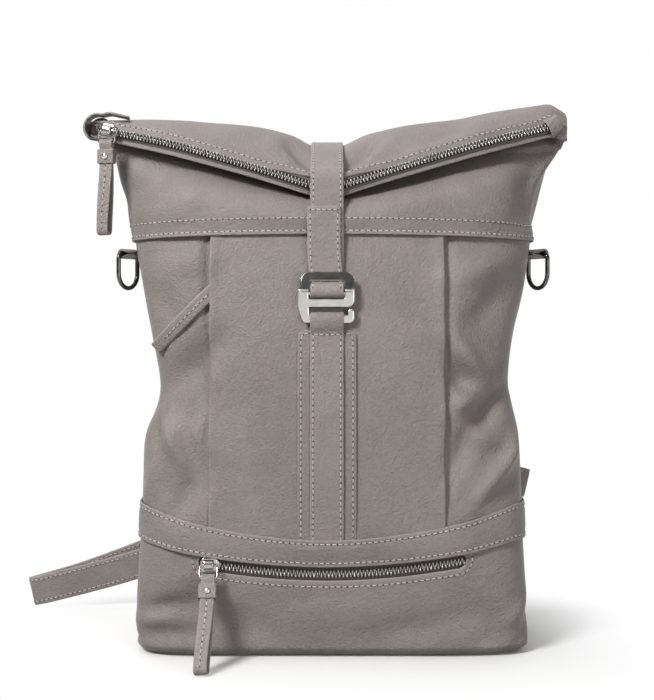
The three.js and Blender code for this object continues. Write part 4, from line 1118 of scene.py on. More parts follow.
# Painted shade under the top zip's teeth, as a dark sheet: its half height, its way out and its thickness
TEETH_SHADE = Sizes(half=2.9, off=0.2, thickness=0.5)
SLOT_STITCH = Sizes(off=3.6, rise=0.05, points=60)


def even_turns(count):
    return 2 * math.pi * np.arange(count) / count


def tooth():
    """One zip tooth: a rounded head on its tape, with a thin tip that reaches past the zip's middle."""
    angles = even_turns(6)
    return plate([np.stack([np.cos(angles) * half_width, np.full(6, up), np.sin(angles) * half_height], -1)
                  for up, half_width, half_height in TOOTH])


def add_teeth(name, path, up, out, node):
    lengths = lengths_along(path)
    count = int(lengths[-1] / ZIP.pitch)
    parts = []
    for side, shift in ((1, 0.0), (-1, 0.5)):
        wanted = (np.arange(count) + 0.25 + shift) * lengths[-1] / count
        wanted = wanted[wanted < lengths[-1]]
        facing = unit(at_lengths(wanted, lengths, out))
        upward = unit(at_lengths(wanted, lengths, up)) * side
        frames = np.stack([np.cross(upward, facing), upward, facing], 1)
        parts.append(scattered(tooth(), at_lengths(wanted, lengths, path), frames, 1.0))
    points, faces = joined(*parts)
    add_mesh(name, points, faces, TEETH, replaces=(node,), slot="zip_chain")


chain_near = ZIP.tape / 2 + ZIP.chain_gap
middle, along, up, out = mouth(np.linspace(-MOUTH_END, TOP_ZIP.tape, 170))
shares = np.linspace(-1, 1, 15)[:, None, None]
tape_grid = middle + up * shares * TAPE_REACH + out * (ZIP.tape / 2 - TAPE_SINK * shares ** 2)
add_sheet("top_zip_tape_cloth", tape_grid, ZIP.tape, TAPE, replaces=("top_zip_tape",), slot="zip_tape")
# A near-black sheet under the teeth: painted shade between and behind them
shares = np.linspace(-1, 1, 5)[:, None, None]
teeth_shade_grid = middle + up * shares * TEETH_SHADE.half + out * (ZIP.tape / 2 + TEETH_SHADE.off)
add_sheet("top_zip_teeth_shade_cloth", teeth_shade_grid, TEETH_SHADE.thickness, TEETH_SHADE_TAPE, slot="zip_tape")
middle, along, up, out = mouth(np.linspace(TEETH_FROM, TOP_ZIP.chain_to, 300))
add_teeth("top_zip_teeth", middle + out * (chain_near + CHAIN_MIDDLE), up, out, "top_zip_chain")

tape_xs = np.linspace(SLOT.left - ZIP.tape_margin, SLOT.right + ZIP.tape_margin, 90)
tape_reach = SLOT.height / 2 + ZIP.tape_margin
tape_z = slot_middle(tape_xs) + np.linspace(-1, 1, 11)[:, None] * tape_reach
tape_grid = on_front(tape_xs, tape_z, -WALL - ZIP.tape_gap)
add_sheet("bottom_zip_tape_cloth", tape_grid, ZIP.tape, DARK_TAPE, replaces=("bottom_zip_tape",),
          slot="zip_tape")
chain_xs = np.linspace(BOTTOM_ZIP.chain_from, BOTTOM_ZIP.chain_to, 200)
chain_path = on_front(chain_xs, slot_middle(chain_xs), CHAIN_MIDDLE - WALL)
chain_up = np.broadcast_to((0.0, 0.0, 1.0), chain_path.shape)
chain_out = unit(np.cross(np.gradient(chain_path, axis=0), chain_up))
add_teeth("bottom_zip_teeth", chain_path, chain_up, chain_out, "bottom_zip_chain")


def corner_arc(x, z, radius, start, stop, steps=7):
    angles = np.radians(np.linspace(start, stop, steps))
    return [(x + radius * math.cos(a), z + radius * math.sin(a)) for a in angles]


def outline_of(*rows):
    """A flat outline from points (x, z) and from arcs (x, z, radius, start, stop, number of points)."""
    outline = []
    for row in rows:
        outline += [row] if len(row) == 2 else corner_arc(*row)
    return outline


def stitch_slot():
    """Stitches below the slot of the bottom zip and round its ends."""
    reach = SLOT.height / 2 + SLOT_STITCH.off
    left = SLOT.left + SLOT.round
    right = SLOT.right - SLOT.round
    below = [(x, -reach) for x in np.linspace(left, right, SLOT_STITCH.points)[1:-1]]
    x, z = np.array(outline_of(
        (left, 0, reach, 110, 180, 6), (left, 0, reach, 180 + 90 / 7, 270, 7), *below,
        (right, 0, reach, 270, 360, 8), (right, 0, reach, 14, 70, 5))).T
    z = z + slot_middle(x)
    none = np.zeros_like(x)
    across = np.stack([none + 2, front_y(x + 1, z) - front_y(x - 1, z), none], -1)
    upward = np.stack([none, front_y(x, z + 1) - front_y(x, z - 1), none + 2], -1)
    facing = unit(np.cross(across, upward))
    stitches.line(on_front(x, z, 0.0) + facing * SLOT_STITCH.rise, facing)


stitch_slot()

# Closure strap

IN_PLANE = np.array((1.0, 0.0, 0.0))
EDGE_STITCH = 2.3
STRAP_STEP = 2.2
# The rows of the roll-top's back that the strap lies on
CLOSURE_ROWS = np.linspace(0.7, LAST_ROW - 0.25, 15)
# The strap's end is folded back up over it. Lengths from that end: where it goes aside, and what its fold
# lies within. Then the ends left unsewn on its two edges, and on the edges of the strap behind it
TURNED_UP = Sizes(aside=2.2, ease=(62.0, 30.0), fold=90.0, seam=(2.0, 2.2), seam_behind=(2.0, 30.0))


def in_plane(points):
    return np.array([(0.0, y, z) for y, z in points])


def round_bar(y, z, radius, start, stop, steps):
    return in_plane(corner_arc(y, z, radius, start, stop, steps))


def stitch_across(path, index, half, side):
    """A line of stitches straight across a strap."""
    facing = strap_frame(path, IN_PLANE)[1][index] * side
    line = path[index] + np.linspace(-half, half, 12)[:, None] * IN_PLANE + facing * STRAP / 2
    stitches.line(line, np.broadcast_to(facing, line.shape))


def closure_path():
    off = 2 * GAP + STRAP / 2
    column = collar_rows(np.zeros(1), "back")[:, 0]
    along = unit(through(column, CLOSURE_ROWS + 0.1) - through(column, CLOSURE_ROWS - 0.1))
    over = through(column, CLOSURE_ROWS)[:, 1:] + np.stack([along[:, 2], -along[:, 1]], -1) * off
    pin_y = BUCKLE.y - math.sin(math.radians(BUCKLE.lean)) * BUCKLE_PIN.z
    bend = BUCKLE_PIN.wire + GAP + STRAP / 2
    loop = round_bar(pin_y, BUCKLE.z + BUCKLE_PIN.z, bend, 0, -180, 9)
    return np.concatenate([in_plane(over), in_plane(CLOSURE_DOWN), loop, in_plane(CLOSURE_UP)])


def closure_strap():
    path = even_path(closure_path(), STRAP_STEP)
    left_over = lengths_along(path)[-1] - lengths_along(path)
    path[:, 0] -= TURNED_UP.aside * smoothstep(*TURNED_UP.ease, left_over)
    add_strap("closure_strap", path, IN_PLANE, STRAP_WIDTH, STRAP)
    half = STRAP_WIDTH / 2 - EDGE_STITCH
    bottom = int(np.argmin(np.where(left_over < TURNED_UP.fold, path[:, 2], math.inf)))
    for offset in (-half, half):
        stitches.line(*strap_line(path[bottom + 3:], IN_PLANE, STRAP, offset, 1, TURNED_UP.seam))
        stitches.line(*strap_line(path[:bottom - 2], IN_PLANE, STRAP, offset, -1, TURNED_UP.seam_behind))
    stitch_across(path, -2, half, 1)


closure_strap()

# Strip patch and hook strap

PATCH_OFF = 2 * GAP + PANEL
PATCH_STITCH = 2.6
STRIP_TOP = 240.0
HOOK_SEAM_Z = 240.5
HOOK_SEAM = (0.0, 1.0)
HOOK_TOP_POINTS = 10


def pressed_in(depth, z):
    """How far the seam band presses in a piece whose foot it covers."""
    return depth * smoothstep(BAND.top + STRIP_PRESSED.height, BAND.top, z)


def patch_grid(inset):
    """The patch between its round top and the seam band, drawn in from its edges by some millimetres."""
    left = PATCH.left + inset
    right = PATCH.right - inset
    corner = PATCH.round
    xs = (left + right) / 2 + (right - left) / 2 * np.sin(np.linspace(-1, 1, 25) * math.pi / 2)
    inside = np.minimum(np.minimum(xs - left, right - xs), corner)
    top = PATCH.top - inset - corner + np.sqrt(corner ** 2 - (corner - inside) ** 2)
    z = rows_between(BAND.top - STRIP_UNDER + BAND.top_rise * rising_at(xs), top, 60)
    return on_front(xs, z, PATCH_OFF + TRIM - pressed_in(STRIP_PRESSED.patch, z))


def hook_strap():
    bend = BUCKLE.plate / 2 + GAP + STRAP / 2
    over = round_bar(BUCKLE.y, BUCKLE.z + HOOK_LIFT, bend, 0, 180, 11)
    strip_z = np.linspace(STRIP_TOP, BAND.top - STRIP_UNDER, 9)
    strip_off = PATCH_OFF + TRIM + GAP + STRAP / 2 - pressed_in(STRIP_PRESSED.strip, strip_z)
    strip = on_front(0.0, strip_z, strip_off)
    path = np.concatenate([in_plane(HOOK_BEHIND), over, in_plane(HOOK_FRONT), strip])
    path = even_path(path, STRAP_STEP)
    add_strap("hook_strap", path, IN_PLANE, STRAP_WIDTH, STRAP)
    half = STRAP_WIDTH / 2 - EDGE_STITCH
    seam = HOOK_TOP_POINTS + int(np.argmin(np.abs(path[HOOK_TOP_POINTS:, 2] - HOOK_SEAM_Z)))
    for offset in (-half, half):
        stitches.line(*strap_line(path[seam:], IN_PLANE, STRAP, offset, -1, HOOK_SEAM))
    stitch_across(path, seam, half, -1)


add_sheet("strip_patch_leather", patch_grid(TRIM / 2), TRIM, LEATHER, replaces=("strip_patch",))
rim = patch_grid(PATCH_STITCH)
outline = np.concatenate([rim[:, 0], rim[-1, 1:-1], rim[::-1, -1]])
stitches.line(outline, np.broadcast_to((0.0, -1.0, 0.0), outline.shape))
hook_strap()

# Hook buckle: a bright hook with the bar that holds the strap, and a frame that leans back over it

BUCKLE_EDGE = 1.0
# How far up a face of the frame looks to get the bright nickel: a painted highlight on its top rim
BUCKLE_FOLD = Sizes(z=22.4, above=0.9, angle=17.0)
BUCKLE_LIT_RIM = 0.6
BUCKLE_SHARP = math.radians(40)
FRAME_FOOT = BUCKLE_FOLD.z
# The upper frame, open at its foot, anticlockwise from the foot of its left leg
BUCKLE_FRAME = outline_of(
    (-12.8, FRAME_FOOT), (-10.8, 29.6, 2.0, 180, 90), (10.8, 29.6, 2.0, 90, 0), (12.8, FRAME_FOOT),
    (18.9, FRAME_FOOT), (12.9, 30.6, 6.0, 0, 90), (-12.9, 30.6, 6.0, 90, 180), (-18.9, FRAME_FOOT),
)
HOOK_TOP = BUCKLE_FOLD.z + BUCKLE_FOLD.above
# The lower plate, a bar across between two legs with an open hook under it, anticlockwise
BUCKLE_HOOK = outline_of(
    (-15.2, 2.2, 2.0, 190, 270), (16.4, 2.9, 2.8, 270, 360), (17.75, 6.95, 1.45, 0, 180, 9),
    (15.3, 5.0, 1.0, 360, 270), (-12.2, 5.7, 1.7, 270, 180), (-12.5, 10.2, 1.7, 180, 90),
    (14.9, 16.4, 4.5, 270, 360), (19.4, HOOK_TOP), (13.9, HOOK_TOP), (11.9, 18.1, 2.0, 360, 270),
    (-12.4, 18.1, 2.0, 270, 180), (-14.4, HOOK_TOP), (-20.2, HOOK_TOP), (-20.6, 17.5), (-20.3, 12.0),
    (-19.3, 7.0), (-17.9, 3.6),
)


def standing_plate(outline, thickness, bevel):
    """A flat shape with rounded edges that stands upright: its outline in X and Z, its thickness along Y."""
    curve = bpy.data.curves.new("outline", "CURVE")
    curve.dimensions = "2D"
    curve.fill_mode = "BOTH"
    curve.extrude = thickness / 2 - bevel
    curve.bevel_depth = bevel
    curve.bevel_resolution = 3
    spline = curve.splines.new("POLY")
    spline.points.add(len(outline) - 1)
    for point, (x, y) in zip(spline.points, outline):
        point.co = (x, y, 0.0, 1.0)
    spline.use_cyclic_u = True
    holder = bpy.data.objects.new("outline", curve)
    mesh = holder.to_mesh()
    points = np.array([v.co[:] for v in mesh.vertices])
    faces = [tuple(p.vertices) for p in mesh.polygons]
    holder.to_mesh_clear()
    bpy.data.objects.remove(holder)
    bpy.data.curves.remove(curve)
    return points[:, [0, 2, 1]] * (1, -1, 1), faces


def tube(path, radius, sides=16, closed=False):
    """A round wire along a path."""
    if closed:
        along = unit(np.roll(path, -1, axis=0) - np.roll(path, 1, axis=0))
    else:
        along = unit(np.gradient(path, axis=0))
    guess = np.array((0.0, 1.0, 0.0)) if abs(along[0][1]) < 0.8 else np.array((0.0, 0.0, 1.0))
    side = []
    for ahead in along:
        guess = square_to(guess, ahead)
        side.append(guess)
    side = np.array(side)
    other = np.cross(along, side)
    angles = even_turns(sides)[None, :, None]
    rings = path[:, None] + (side[:, None] * np.cos(angles) + other[:, None] * np.sin(angles)) * radius
    if not closed:
        return plate(rings)
    faces = [tuple(face) for face in grid_faces(len(path), sides, True)]
    last = (len(path) - 1) * sides
    faces += [(last + k, last + (k + 1) % sides, (k + 1) % sides, k) for k in range(sides)]
    return rings.reshape(-1, 3), faces


def turned_back(points, angle):
    """Points turned about the X axis, so that their upper ends go back."""
    y = points[:, 1] * math.cos(angle) + points[:, 2] * math.sin(angle)
    z = points[:, 2] * math.cos(angle) - points[:, 1] * math.sin(angle)
    return np.stack([points[:, 0], y, z], -1)


def buckle():
    hook, hook_faces = standing_plate(BUCKLE_HOOK, BUCKLE.plate, BUCKLE_EDGE)
    frame_points, frame_faces = standing_plate(BUCKLE_FRAME, BUCKLE.plate, BUCKLE_EDGE)
    fold = np.array((0.0, -BUCKLE.plate / 2, BUCKLE_FOLD.z))
    frame_points = fold + turned_back(frame_points - fold, math.radians(BUCKLE_FOLD.angle))
    pin = np.zeros((12, 3))
    inset = BUCKLE_PIN.inset
    pin[:, 0] = np.linspace(BUCKLE.left + inset, BUCKLE.right - inset, 12)
    pin[:, 2] = BUCKLE_PIN.z
    hook_faces = [face[::-1] for face in hook_faces]
    frame_faces = [face[::-1] for face in frame_faces]
    hook, hook_faces = joined((hook, hook_faces), tube(pin, BUCKLE_PIN.wire))

    def place(points):
        return turned_back(points, -math.radians(BUCKLE.lean)) + (0.0, BUCKLE.y, BUCKLE.z)

    lower = add_mesh("hook_buckle_metal", place(hook), hook_faces, NICKEL, replaces=("hook_buckle",),
                     slot="bright_metal")
    # The frame is in the shaded copy of the nickel, a painted dark reflection; the faces of its rim that
    # look up get the bright nickel, a painted highlight
    upper = add_mesh("hook_buckle_frame_metal", place(frame_points), frame_faces, SHADED_NICKEL,
                     slot="bright_metal")
    upper.data.materials.append(NICKEL)
    for face in upper.data.polygons:
        face.material_index = int(face.normal.z > BUCKLE_LIT_RIM)
    for item in (lower, upper):
        item.data.set_sharp_from_angle(angle=BUCKLE_SHARP)


buckle()

# Zip sliders and their pulls

HINGE_OUT = SLIDER.depth / 2 + SLIDER.tunnel / 2
SLIDER_SWELL = 1.1
SLIDER_EDGE = 1.1
# A slider's nose, and the dome on its face, as shares of its length, depth and height
NOSE = Sizes(length=0.5, depth=0.86, height=0.62, x=0.4, edge=0.6)
DOME = Sizes(length=0.78, depth=0.6, height=0.46, x=-0.12, y=0.6)
# The bridge over a slider: how deep its feet are sunk, the share of its height that is upright, and its top
BRIDGE = Sizes(sunk=0.6, upright=0.55, round=1.3, shoulder=0.3, top=0.5, step=0.5)
KEEPER_OUT = STRAP + 1.5 * GAP + KEEPER.wall
KEEPER_MIDDLE = (KEEPER.top + KEEPER.bottom) / 2
KEEPER_ROUND = 1.2
TAB_STEP = 1.1
TAB_WIDEST = 0.6
RIVET_ROWS = ((2.4, 0), (2.45, -0.4), (2.25, -0.85), (1.75, -1.3), (1.0, -1.6), (0.35, -1.7))
# Below its keeper a pull's tab turns about its length and swings a little aside
TAB_TWIST = Sizes(turn=-15.0, aside=-1.8)
# The seam of a pull's tab: its two ends, by length from the end of the tab's path
TAB_SEAM = (56.0, 6.5)


def rounded_outline(width, height, radius, steps):
    x = width / 2 - radius
    z = height / 2 - radius
    return outline_of((x, -z, radius, 270, 360, steps), (x, z, radius, 0, 90, steps),
                      (-x, z, radius, 90, 180, steps), (-x, -z, radius, 180, 270, steps))


def rounded_block(width, depth, height, bevel, x=0.0):
    points, faces = standing_plate(rounded_outline(width, height, bevel * 2, 5), depth, bevel)
    return points + (x, 0.0, 0.0), faces


def round_plate(x, y, z, rows, sides):
    """A round piece that faces along Y, from rows of its radius and of the way along Y."""
    angles = even_turns(sides)
    loops = []
    for radius, off in rows:
        across = x + radius * np.cos(angles)
        loops.append(np.stack([across, np.full(sides, y + off), z + radius * np.sin(angles)], -1))
    return plate(loops)


def slider_parts():
    length = SLIDER.length * SLIDER_SWELL
    height = SLIDER.height
    depth = SLIDER.depth
    outside = -depth / 2
    span = SLIDER.span / 2
    foot = outside + BRIDGE.sunk
    low = outside - SLIDER.tunnel * BRIDGE.upright
    high = outside - SLIDER.tunnel
    one_side = [(foot, span), (low, span), (high - BRIDGE.shoulder, span - BRIDGE.round)]
    other_side = [(y, -z) for y, z in one_side[::-1]]
    arch = even_path(in_plane(one_side + [(high - BRIDGE.top, 0)] + other_side), BRIDGE.step)
    grid = strap_grid(arch, IN_PLANE, SLIDER.bridge, SLIDER.wall)
    bridge = rounded_sheet(grid.reshape(-1, 3), grid_faces(*grid.shape[:2]), SLIDER.wall)
    dome, dome_faces = pill(20, 12)
    dome = dome[:, [0, 2, 1]] * (length * DOME.length, depth * DOME.depth, height * DOME.height)
    dome = dome + (length * DOME.x, outside * DOME.y, 0)
    return joined(
        rounded_block(length, depth, height, SLIDER_EDGE),
        rounded_block(length * NOSE.length, depth * NOSE.depth, height * NOSE.height, NOSE.edge,
                      length * NOSE.x),
        (dome, dome_faces),
        bridge[:2],
    )


def add_slider(name, node, position, axes):
    points, faces = slider_parts()
    add_mesh(name, position + points @ np.array(axes), faces, BRIGHT, replaces=(node,), slot="dark_metal")


def pull_ring():
    height = PULL.drop + 2 * PULL.corner
    outline = rounded_outline(PULL.ring, height, PULL.corner, 6)
    return tube(np.array([(x, 0.0, z - height / 2) for x, z in outline]), PULL.wire, 12, True)


def pull_tab_path():
    bar = -PULL.drop - 2 * PULL.corner
    bend = PULL.wire + GAP + STRAP / 2
    flat = STRAP / 2 + GAP / 2
    foot = flat + PULL.belly
    in_keeper = GAP - KEEPER.top
    widest = -PULL.length * TAB_WIDEST
    path = np.concatenate([
        in_plane(((-flat, GAP - KEEPER_MIDDLE), (-flat, in_keeper))),
        round_bar(0, bar, bend, 180, 0, 9),
        in_plane(((flat, in_keeper), (flat, -KEEPER.bottom), (foot, widest))),
        round_bar(0, -PULL.length + foot + STRAP / 2, foot, 0, -180, 9),
        in_plane(((-foot, widest), (-flat, -KEEPER.bottom), (-flat, -GAP - KEEPER_MIDDLE))),
    ])
    return even_path(path, TAB_STEP)


def twisted(path):
    """A tab's path with its turn, and the way across it at each point."""
    below = smoothstep(-KEEPER.bottom, -PULL.length, path[:, 2])
    turn = np.radians(TAB_TWIST.turn) * below
    y = path[:, 1]
    moved = np.stack([TAB_TWIST.aside * below - y * np.sin(turn), y * np.cos(turn), path[:, 2]], -1)
    return moved, np.stack([np.cos(turn), np.sin(turn), np.zeros(len(path))], -1)


def pull_keeper():
    width = PULL.width + 2 * (GAP + KEEPER.wall)
    loop = np.array(rounded_outline(width, 2 * KEEPER_OUT, KEEPER_ROUND, 5))
    half_wall = KEEPER.wall / 2
    rows = np.linspace(-KEEPER.bottom + half_wall, -KEEPER.top - half_wall, 9)
    grid = np.stack([np.column_stack([loop, np.full(len(loop), z)]) for z in rows])
    return rounded_sheet(grid.reshape(-1, 3), grid_faces(len(rows), len(loop), True), KEEPER.wall)


def add_pull(name, hinge, lean, yaw):
    axes = np.array(Matrix.Rotation(yaw, 3, "Z") @ Matrix.Rotation(-lean, 3, "X")).T
    rivet = round_plate(0.0, -KEEPER_OUT - KEEPER.rivet_gap, -KEEPER_MIDDLE, RIVET_ROWS, 24)

    def add_piece(piece, made, material, slot, points, faces, worn=None):
        node = f"{name}_{piece}"
        add_mesh(f"{node}_{made}", hinge + points @ axes, faces, material, name, (node,), slot, worn)

    path, wide = twisted(pull_tab_path())
    path = hinge + path @ axes
    wide = wide @ axes
    add_piece("ring", "wire", BRIGHT, "dark_metal", *pull_ring())
    add_strap(f"{name}_tab", path, wide, PULL.width, STRAP, body_name=name)
    add_piece("keeper", "leather", STRAP_LEATHER, "strap_leather", *pull_keeper())
    add_piece("rivet", "dome", NICKEL, "bright_metal", *rivet)
    left_over = lengths_along(path)[-1] - lengths_along(path)
    keep = (left_over <= TAB_SEAM[0]) & (left_over >= TAB_SEAM[1])
    sewn = Stitches()
    sewn.line(*strap_line(path[keep], wide[keep], STRAP, 0.0, 1))
    sewn.build(name)


middle, along, up, out = (value[0] for value in mouth(TOP_ZIP.slider))
slider_place = middle + out * (chain_near + SLIDER.off + SLIDER.depth / 2)
add_slider("top_slider_metal", "top_zip_slider", slider_place, (along, -out, up))
add_pull("top_pull", slider_place + out * HINGE_OUT, 0.0, math.atan2(along[1], along[0]))

slider_x = BOTTOM_ZIP.slider
slider_z = float(slot_middle(slider_x))
slider_y = float(plain_front_y(slider_x, slider_z)) + WALL - GAP - SLIDER.depth / 2
slider_place = np.array((slider_x, slider_y, slider_z))
add_slider("bottom_slider_metal", "bottom_zip_slider", slider_place, np.eye(3))
add_pull("bottom_pull", slider_place + (0.0, -HINGE_OUT, 0.0), math.radians(BOTTOM_ZIP.lean), 0.0)

# Leather ends of the top zip: the left loop starts on the flap, the right tab lies square to the zip

ZIP_LOOP_ROOT = ((-153.0, -29.0, 406.6), (-160.0, -29.6, 408.2), (-167.0, -30.2, 409.3))
# The end of the zip's tape, seen inside the left loop, darker than the tape as painted shade
TAPE_END = (-174.6, -27.5, 398.3)
TAPE_END_ROWS = ((7.6, 0.0), (8.7, 0.4), (8.9, 1.0), (8.7, 1.6), (7.6, 2.0))
TAB_BOW = ((6.8, 0.6), (5.0, 3.4), (0, 4.7), (-5.0, 3.4), (-6.8, 0.6))
TAB_LEAN = math.radians(20.0)
TAB_REACH = 0.938
FINE_COLUMNS = 9
LOOP_STEP = 1.0

loop = corner_arc(ZIP_LOOP.x, ZIP_LOOP.z, ZIP_LOOP.radius, ZIP_LOOP.start, ZIP_LOOP.stop, 30)
path = even_path([*ZIP_LOOP_ROOT, *((x, ZIP_LOOP.y, z) for x, z in loop)], LOOP_STEP)
add_strap("zip_end_left", path, (0.0, 1.0, 0.0), ZIP_LOOP.width, STRAP, "leather", FINE_COLUMNS)
# In the darker cloth, not the top tape's own: painted shade inside the loop
points, faces = round_plate(*TAPE_END, TAPE_END_ROWS, 28)
add_mesh("zip_tape_end_shade_cloth", points, faces, DARK_TAPE, slot="zip_tape")
middle, along, up, out = (value[0] for value in mouth(TAB_REACH))
tab_up = up * math.cos(TAB_LEAN) - along * math.sin(TAB_LEAN)
tab_across = along * math.cos(TAB_LEAN) + up * math.sin(TAB_LEAN)
path = even_path([middle + tab_up * rise + out * off for rise, off in TAB_BOW], LOOP_STEP)
add_strap("zip_end_right", path, tab_across, TAB_WIDTH, STRAP, "leather", FINE_COLUMNS)

# Side rings in their loops

RING_LOOP_WIDTH = 18.0
RING_CORNER = 4.0
RING_ROOT_TURN = 0.02


def ring_outline():
    """A ring's wire from its straight bar round its bow, as ways along the bar and up."""
    half = RING.half
    inner = half - RING_CORNER
    return [(share * inner, 0.0) for share in np.linspace(-1, 1, 13)] + outline_of(
        (inner, -RING_CORNER, RING_CORNER, 75, 0, 6), (0, half - RING.drop, half, 0, -180, 49),
        (-inner, -RING_CORNER, RING_CORNER, 180, 105, 6))


def add_ring(side, name):
    root = body(math.pi + RING_ROOT_TURN if side < 0 else -RING_ROOT_TURN, RING.z)
    turn = math.radians(RING.turn)
    aside = math.tan(turn) * RING.reach / 2
    outward = np.array((side * math.cos(turn), math.sin(turn), 0.0))
    bar = np.array((side * math.sin(turn), -math.cos(turn), 0.0))

    def at(distance, up=0.0):
        return root + (side * distance, aside * (distance / RING.reach) ** 2, up)

    centre = at(RING.reach)
    bend = corner_arc(0.0, 0.0, RING.wire + GAP + STRAP / 2, 75, -75, 9)
    path = [at(distance, apart) for distance, apart in RING_LAYERS]
    path += [centre + outward * out + (0.0, 0.0, up) for out, up in bend]
    path += [at(distance, -apart) for distance, apart in RING_LAYERS[::-1]]
    path = even_path(path, LOOP_STEP)
    add_strap(f"ring_loop_{name}", path, bar, RING_LOOP_WIDTH, STRAP, "leather", FINE_COLUMNS)
    wire = np.array([centre + bar * across + (0.0, 0.0, z) for across, z in ring_outline()])
    points, faces = tube(wire, RING.wire, closed=True)
    node = f"d_ring_{name}"
    add_mesh(f"{node}_wire", points, faces, GUNMETAL, f"ring_{name}", (node,), "dark_metal")


add_ring(-1, "left")
add_ring(1, "right")

# Pull under the left pleat

SIDE_PULL_ROOT = Sizes(x=-84.0, z=274.4, sink=1.4, under=(-95.0, -86.0))
SIDE_PULL_SEAM = (4.0, 2.0)
pull_x = np.linspace(SIDE_PULL_ROOT.x, SIDE_PULL.to_x, 16)
pull_z = np.interp(pull_x, (SIDE_PULL.to_x, SIDE_PULL.from_x, SIDE_PULL_ROOT.x),
                   (SIDE_PULL.to_z, SIDE_PULL.from_z, SIDE_PULL_ROOT.z))
pull_off = GAP + SIDE_PULL.thickness / 2
pull_off = pull_off - SIDE_PULL_ROOT.sink * smoothstep(*SIDE_PULL_ROOT.under, pull_x)
path = np.stack([pull_x, plain_front_y(pull_x, pull_z) - pull_off, pull_z], -1)
path = np.concatenate([path, [path[-1] + unit(path[-1] - path[-5]) * SIDE_PULL.tail]])
across = np.cross((0.0, -1.0, 0.0), np.gradient(path, axis=0))
add_strap("side_pull", path, across, SIDE_PULL.width, SIDE_PULL.thickness)
stitches.line(*strap_line(path, across, SIDE_PULL.thickness, 0.0, -1, SIDE_PULL_SEAM))

# Straps behind the bag

STRAP_STITCH = 3.3
STRAP_SEAM = (2.0, 2.0)
ROUTE_STEP = 3.0


def routed(route, side):
    """A strap's path and the way across it, from rows of a place, a turn and a yaw."""
    route = np.array(route, float)
    at = np.linspace(0, len(route) - 1, int(lengths_along(route[:, :3])[-1] / ROUTE_STEP))
    turn, yaw = np.radians(route[:, 3:]).T
    across = np.stack([np.cos(turn) * np.cos(yaw) * side, np.cos(turn) * np.sin(yaw), -np.sin(turn)], -1)
    return through(route[:, :3] * (side, 1, 1), at), through(across, at)


for name, route, side, size, slot in (
        ("shoulder_strap_left", SHOULDER_ROUTE, -1, SHOULDER, "leather"),
        ("shoulder_strap_right", SHOULDER_ROUTE, 1, SHOULDER, "leather"),
        ("lower_strap_left", LEFT_ROUTE, 1, LOWER_STRAP, "strap_leather"),
        ("lower_strap_right", RIGHT_ROUTE, 1, LOWER_STRAP, "strap_leather")):
    path, across = routed(route, side)
    add_strap(name, path, across, size.width, size.thickness, slot, FINE_COLUMNS)
    edge = size.width / 2 - STRAP_STITCH
    for offset in (-edge, edge):
        for face in (-1, 1):
            stitches.line(*strap_line(path, across, size.thickness, offset, face, STRAP_SEAM))

stitches.build("bag")

# Floor, backdrop, light and camera, in metres

FLOOR_REACH = 4.0
FLOOR_DOWN = 0.0004
# Half the bag's width and depth on the floor, and the distances from it over which the floor turns into
# the plain white of the backdrop
FLOOR_HALF = (0.15, 0.066, 0.0)
FLOOR_FADE = (0.0, 0.11)
# A white wall round the studio, seen by the camera alone
WALL_ROUND = Sizes(radius=3.6, bottom=-0.2, top=5.0, sides=96)
# Lamps: name, place, the point it is turned to, size, and power in watts
LIGHTS = (
    ("key", (-0.92, -1.2, 1.35), (0, 0, 0.24), 0.5, 34.0),
    ("fill", (1.0, -1.6, 0.25), (0, 0, 0.12), 0.8, 9.0),
    ("top", (-0.5, 0.1, 1.7), (0, 0, 0.4), 0.7, 3.5),
)
# Light of the studio along Y and along Z: the directions it is eased between, and its strength at each
BEHIND = (0.2, 0.8, 0.2, 1.02)
OVERHEAD = (0.3, 0.9, 0.0, 0.55)
CAMERA = Sizes(place=(0.0, -0.992, 0.250), focal=1248, picture=700, shift=-29, sensor=36.0)
scene = bpy.context.scene


def stage_mesh(name, points, faces, material):
    mesh = bpy.data.meshes.new(name)
    mesh.from_pydata(points, [], faces)
    mesh.materials.append(material)
    item = bpy.data.objects.new(name, mesh)
    scene.collection.objects.link(item)
    item.visible_diffuse = False
    return item


def show(tree, shader):
    tree.links.new(shader, tree.nodes["Material Output"].inputs["Surface"])


def floor_material():
    """A pale floor with the bag's shadow on it, that turns into plain white away from the bag."""
    material, tree, place = new_material("pale_floor")
    patches = noise(tree, place, 3.0, 2.0, 0.5)
    tone = ramp(tree, patches, 0.3, (0.90, 0.90, 0.895, 1.0), 0.7, (0.93, 0.93, 0.925, 1.0))
    dressed(material, {"Base Color": tone, "Roughness": 0.7, "Specular IOR Level": 0.2})
    outside = place
    for operation, other in (("ABSOLUTE", {}), ("SUBTRACT", {1: FLOOR_HALF}), ("MAXIMUM", {1: (0, 0, 0)})):
        outside = add_node(tree, "VectorMath", {0: outside, **other}, operation=operation).outputs["Vector"]
    distance = add_node(tree, "VectorMath", {0: outside}, operation="LENGTH").outputs["Value"]
    white = add_node(tree, "Emission", {"Strength": 1.0}).outputs["Emission"]
    near = tree.nodes["Principled BSDF"].outputs["BSDF"]
    both = add_node(tree, "MixShader", {"Fac": eased(tree, distance, *FLOOR_FADE), 1: near, 2: white})
    show(tree, both.outputs["Shader"])
    return material


def backdrop_material():
    material, tree, place = new_material("white_backdrop")
    patches = noise(tree, place, 0.6, 1.0, 0.5)
    tone = ramp(tree, patches, 0.3, (0.995, 0.995, 0.995, 1.0), 0.7, (1.0, 1.0, 1.0, 1.0))
    show(tree, add_node(tree, "Emission", {"Color": tone}).outputs["Emission"])
    return material


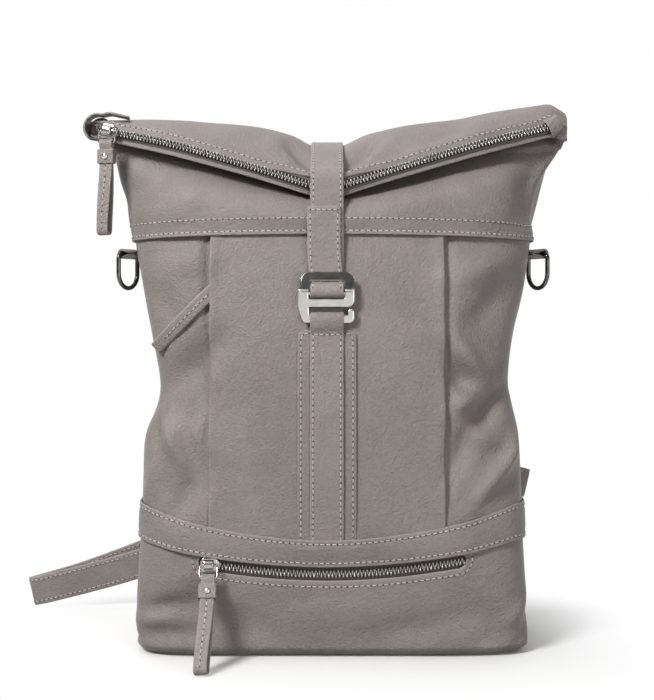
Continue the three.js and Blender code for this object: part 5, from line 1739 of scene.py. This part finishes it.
corners = [(x * FLOOR_REACH, y * FLOOR_REACH, 0.0) for x, y in ((-1, -1), (1, -1), (1, 1), (-1, 1))]
floor = stage_mesh("floor", corners, [(0, 1, 2, 3)], floor_material())
floor.location = (0.0, 0.0, -FLOOR_DOWN)
wall = [(WALL_ROUND.radius * math.cos(a), WALL_ROUND.radius * math.sin(a), height)
        for height in (WALL_ROUND.bottom, WALL_ROUND.top) for a in even_turns(WALL_ROUND.sides)]
wall_faces = grid_faces(2, WALL_ROUND.sides, True).tolist()
backdrop = stage_mesh("backdrop", wall, wall_faces, backdrop_material())
backdrop.visible_glossy = False
backdrop.visible_shadow = False


def studio_world():
    """A studio that is white behind the bag and overhead, and dimmer in front of it."""
    world = bpy.data.worlds.new("studio")
    world.use_nodes = True
    tree = world.node_tree
    place = add_node(tree, "TexCoord", {}).outputs["Generated"]
    direction = add_node(tree, "SeparateXYZ", {"Vector": place}).outputs
    behind = eased(tree, direction["Y"], *BEHIND)
    overhead = eased(tree, direction["Z"], *OVERHEAD)
    strength = calculate(tree, "MAXIMUM", behind, overhead)
    set_inputs(tree, tree.nodes["Background"], {"Color": (1.0, 1.0, 1.0, 1.0), "Strength": strength})
    return world


scene.world = studio_world()
for name, location, target, size, power in LIGHTS:
    lamp = bpy.data.lights.new(name, "AREA")
    lamp.shape = "RECTANGLE"
    lamp.size = size
    lamp.size_y = size
    lamp.energy = power
    item = bpy.data.objects.new(name, lamp)
    item.location = location
    item.rotation_euler = (Vector(target) - Vector(location)).to_track_quat("-Z", "Y").to_euler()
    scene.collection.objects.link(item)

camera = bpy.data.cameras.new("photo_camera")
camera.sensor_width = CAMERA.sensor
camera.lens = CAMERA.focal / CAMERA.picture * CAMERA.sensor
camera.shift_y = CAMERA.shift / CAMERA.picture
camera.dof.use_dof = False
viewer = bpy.data.objects.new("photo_camera", camera)
viewer.location = CAMERA.place
viewer.rotation_euler = (math.pi / 2, 0.0, 0.0)
scene.collection.objects.link(viewer)
scene.camera = viewer
scene.view_settings.view_transform = "Standard"
